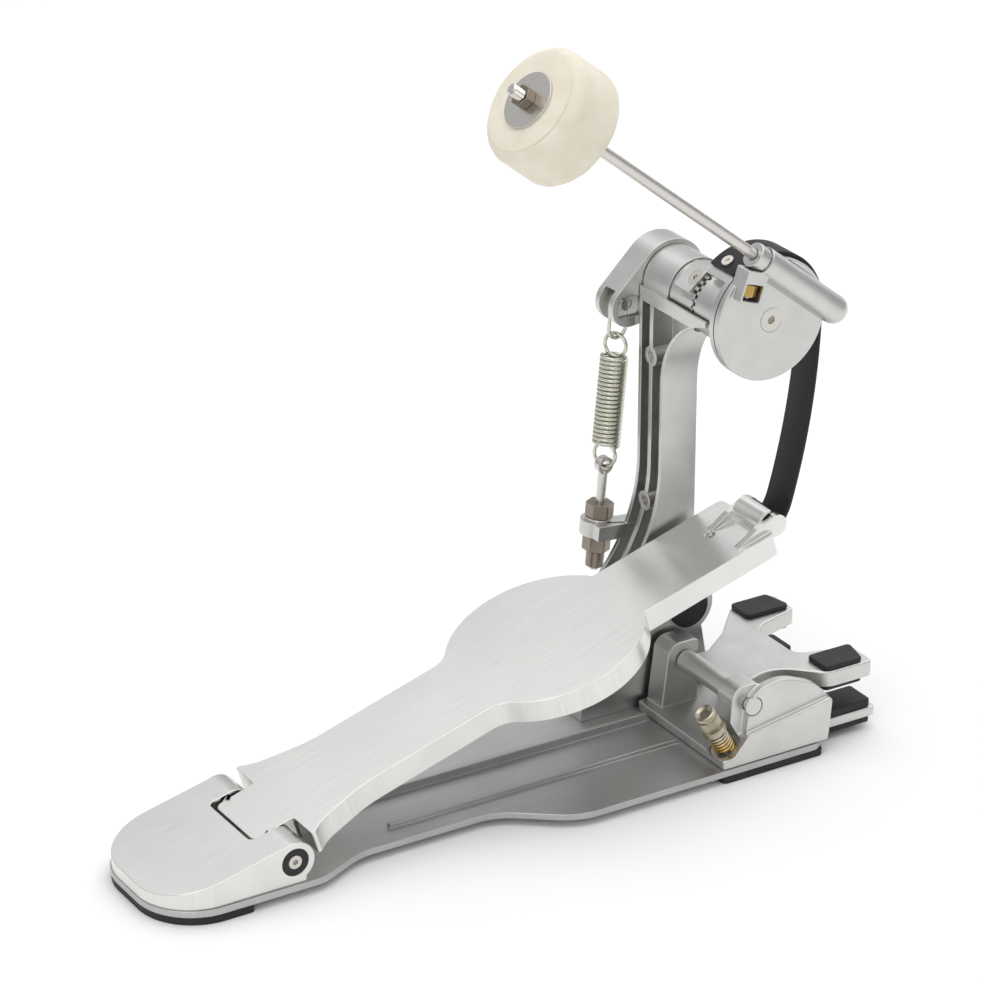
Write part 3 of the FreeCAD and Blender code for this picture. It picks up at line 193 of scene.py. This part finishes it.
# polished or brushed plate: fine lines along the length, the finest scratches drawn 0.4 mm apart to show
def brushedMetal(name, colours, roughness, lineMm, lineStretch, lineHeight):
    finish, tree, surface, place = startFinish(name, {"Metallic": 1.0})
    along = addNode(tree, "Mapping", inputs={"Vector": place,
                                             "Scale": (1.0, 1 / lineStretch, 1 / lineStretch)})
    lines = addNode(tree, "TexNoise", inputs={"Vector": along.outputs["Vector"], "Scale": 1000 / lineMm,
                                              "Detail": 4.0})
    # smears 45 mm across
    smears = addNode(tree, "TexNoise", inputs={"Vector": place, "Scale": 1 / 0.045, "Detail": 2.0})
    tint = addNode(tree, "ValToRGB", inputs={"Fac": lines.outputs["Fac"]})
    tint.color_ramp.elements[0].position = 0.3
    tint.color_ramp.elements[1].position = 0.7
    tint.color_ramp.elements[0].color = hexColour(colours[0])
    tint.color_ramp.elements[1].color = hexColour(colours[1])
    tree.links.new(tint.outputs["Color"], surface.inputs["Base Color"])
    gloss = addNode(tree, "MapRange", inputs={"Value": smears.outputs["Fac"], "To Min": roughness - 0.04,
                                              "To Max": roughness + 0.06})
    tree.links.new(gloss.outputs["Result"], surface.inputs["Roughness"])
    relief = addNode(tree, "Bump", inputs={"Height": lines.outputs["Fac"], "Strength": 0.2,
                                           "Distance": lineHeight / 1000})
    tree.links.new(relief.outputs["Normal"], surface.inputs["Normal"])
    return finish


# plated steel and turned brass: bright, with tiny scratches that vary the gloss
def platedMetal(name, colour, roughness):
    finish, tree, surface, place = startFinish(name, {"Metallic": 1.0, "Base Color": hexColour(colour)})
    # scratches 1.2 mm long
    scratches = addNode(tree, "TexNoise", inputs={"Vector": place, "Scale": 1 / 0.0012, "Detail": 5.0})
    gloss = addNode(tree, "MapRange", inputs={"Value": scratches.outputs["Fac"], "To Min": roughness - 0.03,
                                              "To Max": roughness + 0.04})
    tree.links.new(gloss.outputs["Result"], surface.inputs["Roughness"])
    relief = addNode(tree, "Bump", inputs={"Height": scratches.outputs["Fac"], "Strength": 0.1,
                                           "Distance": 0.000006})
    tree.links.new(relief.outputs["Normal"], surface.inputs["Normal"])
    return finish


# brass wire coloured by height: golden toward its foot, paler grey toward its top
def goldenFootBrass(name, lowMm, highMm):
    finish, tree, surface, place = startFinish(name, {"Metallic": 1.0, "Roughness": 0.26})
    height = addNode(tree, "SeparateXYZ", inputs={"Vector": place}).outputs["Z"]
    share = addNode(tree, "MapRange", inputs={"Value": height, "From Min": lowMm / 1000,
                                              "From Max": highMm / 1000})
    tint = addNode(tree, "ValToRGB", inputs={"Fac": share.outputs["Result"]})
    tint.color_ramp.elements[0].color = hexColour("#d0aa58")
    tint.color_ramp.elements[1].color = hexColour("#c9c4b2")
    tree.links.new(tint.outputs["Color"], surface.inputs["Base Color"])
    # scratches 1.2 mm long
    scratches = addNode(tree, "TexNoise", inputs={"Vector": place, "Scale": 1 / 0.0012, "Detail": 4.0})
    relief = addNode(tree, "Bump", inputs={"Height": scratches.outputs["Fac"], "Strength": 0.1,
                                           "Distance": 0.000006})
    tree.links.new(relief.outputs["Normal"], surface.inputs["Normal"])
    return finish


# moulded rubber and plastic: near black, with a fine moulded skin
def mouldedBlack(name, colours, roughness, skinMm, skinHeight):
    finish, tree, surface, place = startFinish(name, {"Specular IOR Level": 0.45})
    # patches of dust 9 mm across
    dust = addNode(tree, "TexNoise", inputs={"Vector": place, "Scale": 1 / 0.009, "Detail": 6.0})
    tint = addNode(tree, "ValToRGB", inputs={"Fac": dust.outputs["Fac"]})
    tint.color_ramp.elements[0].position = 0.4
    tint.color_ramp.elements[1].position = 0.75
    tint.color_ramp.elements[0].color = hexColour(colours[0])
    tint.color_ramp.elements[1].color = hexColour(colours[1])
    tree.links.new(tint.outputs["Color"], surface.inputs["Base Color"])
    gloss = addNode(tree, "MapRange", inputs={"Value": dust.outputs["Fac"], "To Min": roughness - 0.06,
                                              "To Max": roughness + 0.08})
    tree.links.new(gloss.outputs["Result"], surface.inputs["Roughness"])
    skin = addNode(tree, "TexNoise", inputs={"Vector": place, "Scale": 1000 / skinMm, "Detail": 2.0})
    relief = addNode(tree, "Bump", inputs={"Height": skin.outputs["Fac"], "Strength": 0.4,
                                           "Distance": skinHeight / 1000})
    tree.links.new(relief.outputs["Normal"], surface.inputs["Normal"])
    return finish


# rubberised belt: its cords show as faint ribs 3 mm apart through the matt rubber
def beltRubber(name):
    finish, tree, surface, place = startFinish(name, {"Specular IOR Level": 0.4, "Roughness": 0.58})
    ribs = addNode(tree, "TexWave", settings={"wave_type": "BANDS", "bands_direction": "X"},
                   inputs={"Vector": place, "Scale": 100.0, "Distortion": 0.4})
    # pebbled skin 0.6 mm across
    skin = addNode(tree, "TexNoise", inputs={"Vector": place, "Scale": 1 / 0.0006, "Detail": 3.0})
    tint = addNode(tree, "ValToRGB", inputs={"Fac": skin.outputs["Fac"]})
    tint.color_ramp.elements[0].color = hexColour("#0e0e0f")
    tint.color_ramp.elements[1].color = hexColour("#262627")
    tree.links.new(tint.outputs["Color"], surface.inputs["Base Color"])
    height = addNode(tree, "Math", settings={"operation": "MULTIPLY_ADD"},
                     inputs={0: ribs.outputs["Fac"], 1: 0.6, 2: skin.outputs["Fac"]})
    relief = addNode(tree, "Bump", inputs={"Height": height.outputs["Value"], "Strength": 0.5,
                                           "Distance": 0.00008})
    tree.links.new(relief.outputs["Normal"], surface.inputs["Normal"])
    return finish


# pressed wool felt: cream, dull, with a short fuzzy nap and slightly darker patches where it is denser
def pressedFelt(name):
    finish, tree, surface, place = startFinish(name, {"Roughness": 0.95, "Specular IOR Level": 0.2,
                                                      "Sheen Weight": 0.35, "Sheen Roughness": 0.6})
    # patches 11 mm across, tufts of fibre 0.7 mm across
    patches = addNode(tree, "TexNoise", inputs={"Vector": place, "Scale": 1 / 0.011, "Detail": 4.0})
    fibres = addNode(tree, "TexNoise", inputs={"Vector": place, "Scale": 1 / 0.0007, "Detail": 6.0,
                                               "Roughness": 0.7, "Distortion": 1.2})
    blend = addNode(tree, "Math", settings={"operation": "MULTIPLY_ADD"},
                    inputs={0: fibres.outputs["Fac"], 1: 0.45, 2: patches.outputs["Fac"]})
    tint = addNode(tree, "ValToRGB", inputs={"Fac": blend.outputs["Value"]})
    tint.color_ramp.elements[0].position = 0.5
    tint.color_ramp.elements[1].position = 0.95
    tint.color_ramp.elements[0].color = hexColour("#e2dac4")
    tint.color_ramp.elements[1].color = hexColour("#ece6d6")
    tree.links.new(tint.outputs["Color"], surface.inputs["Base Color"])
    relief = addNode(tree, "Bump", inputs={"Height": fibres.outputs["Fac"], "Strength": 0.5,
                                           "Distance": 0.0003})
    tree.links.new(relief.outputs["Normal"], surface.inputs["Normal"])
    return finish


casting = castAluminium("blastedAluminium", ("#d0d0ce", "#d8d8d6"), 0.42, 0.45, 0.04)
smoothCasting = castAluminium("finishedCasting", ("#cbcbc9", "#d3d3d1"), 0.37, 0.35, 0.015)
polishedPlate = brushedMetal("polishedAluminium", ("#dcdcda", "#e6e6e4"), 0.24, 0.4, 60.0, 0.01)
basePlateMetal = brushedMetal("brushedBasePlate", ("#b8b8b7", "#c4c4c3"), 0.37, 0.5, 40.0, 0.01)
zincScrew = platedMetal("zincPlatedScrew", "#cfcdc6", 0.26)
brightNickel = platedMetal("nickelPlatedSteel", "#d6d3ce", 0.26)
thumbNickel = platedMetal("dulledNickelThumbNut", "#b9b3a1", 0.28)
darkNickel = platedMetal("dullNickelNut", "#8f857a", 0.3)
turnedBrass = platedMetal("turnedBrass", "#cfae66", 0.24)
clampWire = goldenFootBrass("goldenFootBrassWire", 15.0, 24.0)
springZinc = platedMetal("yellowZincSpring", "#cfcfc2", 0.22)
padRubber = mouldedBlack("padRubber", ("#141415", "#2a2a2b"), 0.55, 0.5, 0.05)
capPlastic = mouldedBlack("capPlastic", ("#0e0e0f", "#191919"), 0.38, 0.3, 0.02)
strapBelt = beltRubber("beltRubber")
headFelt = pressedFelt("pressedFelt")
print("finishes ready")


# castings, plates, pads and turned parts keep the fixed shape, with their edges broken
def breakEdges(node, finish, edgeMm):
    piece = bpy.data.objects.new(node + "Soft", frame["nodes"][node].data.copy())
    bpy.context.scene.collection.objects.link(piece)
    editPiece(piece)
    bpy.ops.mesh.select_all(action="SELECT")
    bpy.ops.mesh.customdata_custom_splitnormals_clear()
    bpy.ops.mesh.remove_doubles(threshold=0.000004)
    bpy.ops.mesh.dissolve_limited(angle_limit=math.radians(0.5))
    bpy.ops.object.mode_set(mode="OBJECT")
    applyModifier(piece, "BEVEL", width=edgeMm / 1000, segments=3, limit_method="ANGLE",
                  angle_limit=math.radians(34), use_clamp_overlap=False)
    smoothPiece(piece)
    applyModifier(piece, "WEIGHTED_NORMAL", keep_sharp=True, weight=50)
    finishPiece(piece, "soft-" + node.replace("_", "-"), finish, bodyOfNode[node], [node])
    return piece


brokenEdges = {   # node: (finish, edge radius in mm)
    "heel_plate": (polishedPlate, 0.35),
    "footboard": (polishedPlate, 0.35),
    "base_plate": (basePlateMetal, 0.5),
    "post": (smoothCasting, 0.3),
    "tooth_collar": (smoothCasting, 0.15),
    "spring_rocker": (smoothCasting, 0.4),
    "strap_wheel": (smoothCasting, 0.06),
    "beater_disc": (smoothCasting, 0.6),
    "front_casting": (casting, 0.8),
    "upper_jaw": (casting, 1.0),
    "heel_pad": (padRubber, 0.5),
    "front_pad_right": (padRubber, 0.6),
    "front_pad_left": (padRubber, 0.6),
    "lower_jaw_pads": (padRubber, 1.0),
    "lower_jaw_feet": (padRubber, 0.6),
    "upper_jaw_top_pads": (padRubber, 0.9),
    "upper_jaw_under_pads": (padRubber, 0.5),
    "hinge_cap_right": (capPlastic, 0.4),
    "hinge_cap_left": (capPlastic, 0.4),
    "post_foot_cap": (capPlastic, 0.5),
    "post_foot_bolt": (zincScrew, 0.4),
    "hinge_screw_right": (zincScrew, 0.25),
    "hinge_screw_left": (zincScrew, 0.25),
    "post_screws": (brightNickel, 0.25),
    "collar_screw": (zincScrew, 0.2),
    "disc_screw": (zincScrew, 0.25),
    "strap_screw": (zincScrew, 0.2),
    "toe_screw": (zincScrew, 0.2),
    "eye_bolt": (smoothCasting, 0.5),
    "eye_bolt_nut": (turnedBrass, 0.35),
    "beater_washer": (brightNickel, 0.3),
    "beater_nut": (darkNickel, 0.35),
    "beater_back_washer": (brightNickel, 0.25),
    "tension_nut_upper": (darkNickel, 0.5),
    "tension_nut_lower": (darkNickel, 0.5),
    "tension_washers": (brightNickel, 0.25),
    "tension_rod": (brightNickel, 0.3),
    "rocker_roller": (zincScrew, 0.3),
}
for node, (finish, edgeMm) in brokenEdges.items():
    breakEdges(node, finish, edgeMm)
print("castings, pads and fixings done")

# small turned pieces that keep their plain shape
plainNodes = {
    "heel_plate_screws": zincScrew, "hinge_pin": zincScrew, "hinge_bearings": zincScrew, "toe_pin": zincScrew,
    "axle_bearings": zincScrew, "foot_screws": zincScrew, "axle_shaft": zincScrew, "roller_pin": zincScrew,
    "casting_screws": zincScrew, "clamp_pivot": zincScrew, "clamp_screw": brightNickel,
    "spring_hook": springZinc,
}
for node, finish in plainNodes.items():
    fixed = frame["nodes"][node]
    fixed.data.materials.clear()
    fixed.data.materials.append(finish)

# felt beater head: a drum with rolled edges and slightly crowned faces
feltHead = {"radius": 0.0305, "length": 0.0325, "back": 0.166, "edge": 0.0068, "crown": 0.0005, "sides": 96}
deselectAll()
bpy.ops.mesh.primitive_cylinder_add(vertices=feltHead["sides"], radius=feltHead["radius"],
                                    depth=feltHead["length"], location=(0, 0, feltHead["length"] / 2))
head = bpy.context.object
bpy.ops.object.transform_apply(location=True, rotation=True, scale=True)
editPiece(head)
pick(head, "EDGE", lambda edge: abs(edge.verts[0].co.z - edge.verts[1].co.z) < 0.001)
bpy.ops.mesh.bevel(offset=feltHead["edge"], segments=9, affect="EDGES")
pick(head, "FACE", lambda face: abs(face.normal.z) > 0.99)
bpy.ops.mesh.inset(thickness=0.003)
for step in range(3):
    bpy.ops.mesh.inset(thickness=0.0055)
    pick(head, "FACE", lambda face: len(face.verts) > 8 and face.normal.z > 0.9)
    bpy.ops.transform.translate(value=(0, 0, feltHead["crown"] / 3))
    pick(head, "FACE", lambda face: len(face.verts) > 8 and abs(face.normal.z) > 0.9)
bpy.ops.object.mode_set(mode="OBJECT")
applyModifier(head, "SUBSURF", levels=1, render_levels=1)
nap = bpy.data.textures.new("feltNap", "CLOUDS")
nap.noise_scale = 0.009
applyModifier(head, "DISPLACE", texture=nap, texture_coords="LOCAL", strength=0.0005, mid_level=0.5)
settle(head, shaftFoot + shaftUp * feltHead["back"], beaterTilt)
smoothPiece(head, 60)
finishPiece(head, "felt-head", headFelt, "beater", ["beater_head"])
print("felt head done")

# beater shaft with its threaded end
shaft = {"radius": 0.00296, "low": -0.0164, "threadStart": 0.2003, "threadEnd": 0.2113, "pitch": 0.0012,
         "depth": 0.0005, "chamfer": 0.0006, "tipShare": 0.7}
deselectAll()
plainLength = shaft["threadStart"] - shaft["low"]
bpy.ops.mesh.primitive_cylinder_add(vertices=40, radius=shaft["radius"], depth=plainLength,
                                    location=(0, 0, shaft["low"] + plainLength / 2))
rod = bpy.context.object
bpy.ops.object.transform_apply(location=True, rotation=True, scale=True)
editPiece(rod)
pick(rod, "FACE", lambda face: face.normal.z > 0.99)
threadHeight = shaft["threadStart"]
grooveShare = 1 - shaft["depth"] / shaft["radius"]
while threadHeight < shaft["threadEnd"] - shaft["pitch"] / 2:
    for share in (grooveShare, 1 / grooveShare):
        bpy.ops.mesh.extrude_region_move(TRANSFORM_OT_translate={"value": (0, 0, shaft["pitch"] / 2)})
        threadHeight += shaft["pitch"] / 2
        bpy.ops.transform.resize(value=(share, share, 1), center_override=(0, 0, threadHeight))
bpy.ops.mesh.extrude_region_move(TRANSFORM_OT_translate={"value": (0, 0, shaft["pitch"] / 2)})
bpy.ops.transform.resize(value=(shaft["tipShare"], shaft["tipShare"], 1),
                         center_override=(0, 0, threadHeight))
footHeight = shaft["low"] + shaft["chamfer"]
pick(rod, "EDGE", lambda edge: max(vertex.co.z for vertex in edge.verts) < footHeight)
bpy.ops.mesh.bevel(offset=shaft["chamfer"], segments=2, affect="EDGES")
bpy.ops.object.mode_set(mode="OBJECT")
settle(rod, shaftFoot, beaterTilt)
closeShell(rod)
smoothPiece(rod, 30)
finishPiece(rod, "beater-rod", brightNickel, "beater", ["beater_shaft"])
print("beater shaft done")


# a spring wound upward from the origin, its wire closed at both ends
def windWire(coil):
    deselectAll()
    bpy.ops.mesh.primitive_circle_add(vertices=coil["wireSides"], radius=coil["wire"], fill_type="NOTHING",
                                      location=(coil["mean"], 0, 0), rotation=(math.pi / 2, 0, 0))
    wire = bpy.context.object
    bpy.ops.object.transform_apply(location=True, rotation=True, scale=True)
    applyModifier(wire, "SCREW", axis="Z", angle=math.tau, iterations=coil["turns"],
                  screw_offset=(coil["length"] - 2 * coil["wire"]) / coil["turns"], steps=coil["steps"],
                  render_steps=coil["steps"], use_merge_vertices=False)
    closeShell(wire)
    return wire


def joinInto(piece, others):
    deselectAll()
    for other in others:
        other.select_set(True)
    piece.select_set(True)
    bpy.context.view_layer.objects.active = piece
    bpy.ops.object.join()


returnCoil = {"wire": 0.001, "wireSides": 10, "mean": 0.00645, "turns": 21, "steps": 30, "length": 0.0505,
              "topAt": 0.0275, "ringMajor": 0.0062, "ringTop": 0.0229, "ringLow": 0.0826, "ringTurn": 25}
coil = windWire(returnCoil)
coilLow = returnCoil["topAt"] + returnCoil["length"]
settle(coil, springHang - springUp * (coilLow - returnCoil["wire"]), -springLean)
rings = []
for distance in (returnCoil["ringTop"], returnCoil["ringLow"]):
    deselectAll()
    bpy.ops.mesh.primitive_torus_add(major_radius=returnCoil["ringMajor"], minor_radius=returnCoil["wire"],
                                     major_segments=44, minor_segments=10,
                                     rotation=(math.pi / 2, 0, math.radians(returnCoil["ringTurn"])))
    ring = bpy.context.object
    bpy.ops.object.transform_apply(location=True, rotation=True, scale=True)
    settle(ring, springHang - springUp * distance, -springLean)
    rings.append(ring)
joinInto(coil, rings)
smoothPiece(coil, 60)
finishPiece(coil, "return-coil", springZinc, "", ["return_spring"])
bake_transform(coil)

clampCoil = {"wire": 0.0008, "wireSides": 8, "mean": 0.0051, "turns": 6, "steps": 26, "length": 0.014}
windings = windWire(clampCoil)
settle(windings, screwSeat + screwUp * clampCoil["wire"], screwTilt)
smoothPiece(windings, 60)
finishPiece(windings, "clamp-coil", clampWire, "", ["clamp_spring"])
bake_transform(windings)
print("springs wound")

# knurled thumb nut of the clamp screw
thumbNut = {"radius": 0.0056, "start": 0.014, "length": 0.013, "flange": 0.0068, "flangeLength": 0.0032,
            "ribs": 36, "ribDepth": 0.00035, "grooveAt": 0.0095, "grooveLength": 0.0012,
            "grooveDepth": 0.0007}
deselectAll()
bpy.ops.mesh.primitive_cylinder_add(vertices=thumbNut["ribs"] * 2, radius=thumbNut["flange"],
                                    depth=thumbNut["flangeLength"],
                                    location=(0, 0, thumbNut["flangeLength"] / 2))
nut = bpy.context.object
bpy.ops.object.transform_apply(location=True, rotation=True, scale=True)
editPiece(nut)
pick(nut, "FACE", lambda face: face.normal.z > 0.99)
bpy.ops.mesh.inset(thickness=thumbNut["flange"] - thumbNut["radius"])
nutHeights = (thumbNut["grooveAt"] - thumbNut["flangeLength"], thumbNut["grooveLength"],
              thumbNut["length"] - thumbNut["grooveAt"] - thumbNut["grooveLength"])
for section, height in enumerate(nutHeights):
    if section == 1:
        bpy.ops.mesh.inset(thickness=thumbNut["grooveDepth"])
    bpy.ops.mesh.extrude_region_move(TRANSFORM_OT_translate={"value": (0, 0, height)})
    if section == 1:
        share = thumbNut["radius"] / (thumbNut["radius"] - thumbNut["grooveDepth"])
        bpy.ops.mesh.extrude_region_move(TRANSFORM_OT_translate={"value": (0, 0, 0)})
        bpy.ops.transform.resize(value=(share, share, 1), center_override=(0, 0, 0))
bpy.ops.mesh.inset(thickness=0.0009)
bpy.ops.transform.translate(value=(0, 0, 0.0004))
bpy.ops.mesh.inset(thickness=0.0018)
bpy.ops.transform.translate(value=(0, 0, -0.001))


# every second upright edge of the grip, pressed in as a knurl
def isKnurlValley(vertex):
    distance = math.hypot(vertex.co.x, vertex.co.y)
    turn = math.degrees(math.atan2(vertex.co.y, vertex.co.x)) % 360
    step = 180 / thumbNut["ribs"]
    return abs(distance - thumbNut["radius"]) < 0.0001 and round(turn / step) % 2 == 0


pick(nut, "VERT", isKnurlValley)
valleyShare = 1 - thumbNut["ribDepth"] / thumbNut["radius"]
bpy.ops.transform.resize(value=(valleyShare, valleyShare, 1), center_override=(0, 0, 0))
bpy.ops.object.mode_set(mode="OBJECT")
settle(nut, screwSeat + screwUp * thumbNut["start"], screwTilt)
closeShell(nut)
smoothPiece(nut, 25)
finishPiece(nut, "thumb-nut", thumbNickel, "clamp_screw", ["clamp_knob"])
print("thumb nut done")

# strap: one belt from its screw over the wheel and down to the footboard's cross pin
strap = {"left": -0.0037, "right": 0.0158, "thickness": 0.002, "mid": 0.0332, "wrapStop": 128, "bow": 0.385,
         "bendAbovePin": 0.009, "pinY": 0.3366686, "pinZ": 0.1169662, "loop": 0.006, "pivotTurn": 25}
deselectAll()
bpy.ops.mesh.primitive_plane_add(size=1, location=(0, 0, 0))
belt = bpy.context.object
belt.scale = (strap["right"] - strap["left"], strap["thickness"], 1)
bpy.ops.object.transform_apply(location=True, rotation=True, scale=True)
wrapTurn = math.radians(strap["wrapStop"])
beltStart = wheelCentre + Vector((0, math.cos(wrapTurn), math.sin(wrapTurn))) * strap["mid"]
beltStart.x = (strap["left"] + strap["right"]) / 2
settle(belt, beltStart, wrapTurn)
editPiece(belt)
bpy.ops.mesh.select_all(action="SELECT")
bpy.ops.mesh.bevel(offset=0.0005, segments=2, affect="VERTICES")
bpy.ops.mesh.select_all(action="SELECT")
bpy.ops.mesh.delete(type="ONLY_FACE")
bpy.ops.mesh.select_all(action="SELECT")

runTop = wheelCentre + Vector((0, strap["mid"], 0))
bowCentre = runTop - Vector((0, strap["bow"], 0))
bowTurn = math.asin((strap["pinZ"] + strap["bendAbovePin"] - wheelCentre.z) / strap["bow"])
bendStart = bowCentre + Vector((0, math.cos(bowTurn), math.sin(bowTurn))) * strap["bow"]
inward = (bowCentre - bendStart).normalized()
pinCentre = Vector((0, strap["pinY"], strap["pinZ"]))
fromPin = bendStart - pinCentre
bendRadius = (strap["loop"] ** 2 - fromPin.length ** 2) / (2 * (inward.dot(fromPin) + strap["loop"]))
bendCentre = bendStart + inward * bendRadius
loopTurn = math.atan2(pinCentre.z - bendCentre.z, pinCentre.y - bendCentre.y)
beltArcs = (
    (wheelCentre, -wrapTurn, 56), (bowCentre, bowTurn, 30), (bendCentre, loopTurn - bowTurn, 14),
    (pinCentre, -math.radians(335), 40),
)
for centre, turn, steps in beltArcs:
    bpy.ops.mesh.spin(steps=steps, angle=-turn, center=centre, axis=(1, 0, 0))
bpy.ops.object.mode_set(mode="OBJECT")
closeShell(belt)
smoothPiece(belt, 50)
finishPiece(belt, "strap", strapBelt, "", ["strap_wrap", "strap_run"])
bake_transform(belt)
print("strap done")

# floor, light and camera
deselectAll()
bpy.ops.mesh.primitive_plane_add(size=40, location=(0, 0.15, 0))
floor = bpy.context.object
floor.name = "studioFloor"
floorFinish = startFinish("studioFloor", {"Base Color": hexColour("#f6f6f5"), "Roughness": 0.9})
floor.data.materials.append(floorFinish[0])

studioLights = {   # name: (place, aimed at, size, watts)
    "overhead": ((-0.3, 0.4, 2.6), (0, 0.15, 0.1), 3.2, 34),
    "rightSoftbox": ((1.9, -1.9, 1.5), (0, 0.15, 0.15), 1.6, 12),
    "backSoftbox": ((-1.2, 2.6, 1.5), (0, 0.15, 0.1), 1.8, 12),
}
for name, (place, aim, size, watts) in studioLights.items():
    bpy.ops.object.light_add(type="AREA", location=place)
    lamp = bpy.context.object
    lamp.name = name
    lamp.data.size = size
    lamp.data.energy = watts
    lamp.rotation_euler = (Vector(aim) - Vector(place)).to_track_quat("-Z", "Y").to_euler()

# white studio air, greyer toward the horizon so that metal faces differ in tone
world = bpy.data.worlds.new("studioAir")
bpy.context.scene.world = world
world.use_nodes = True
airTree = world.node_tree
background = airTree.nodes["Background"]
direction = addNode(airTree, "TexCoord").outputs["Generated"]
height = addNode(airTree, "SeparateXYZ", inputs={"Vector": direction}).outputs["Z"]
airTint = addNode(airTree, "ValToRGB", inputs={"Fac": height})
airTint.color_ramp.elements[0].position = 0.0
airTint.color_ramp.elements[1].position = 0.75
airTint.color_ramp.elements[0].color = hexColour("#a6a6a8")
airTint.color_ramp.elements[1].color = hexColour("#fbfbfb")
airTree.links.new(airTint.outputs["Color"], background.inputs["Color"])
background.inputs["Strength"].default_value = 0.84
bpy.context.scene.view_settings.view_transform = "Standard"   # plain colours, no film curve

viewPoint = {"place": (1.5710, -0.7828, 1.0179), "turn": (65.201, 0, 58.466), "lens": 152.8}
bpy.ops.object.camera_add(location=viewPoint["place"],
                          rotation=[math.radians(angle) for angle in viewPoint["turn"]])
camera = bpy.context.object
camera.data.lens = viewPoint["lens"]
camera.data.sensor_width = 36
bpy.context.scene.camera = camera
print("studio ready")
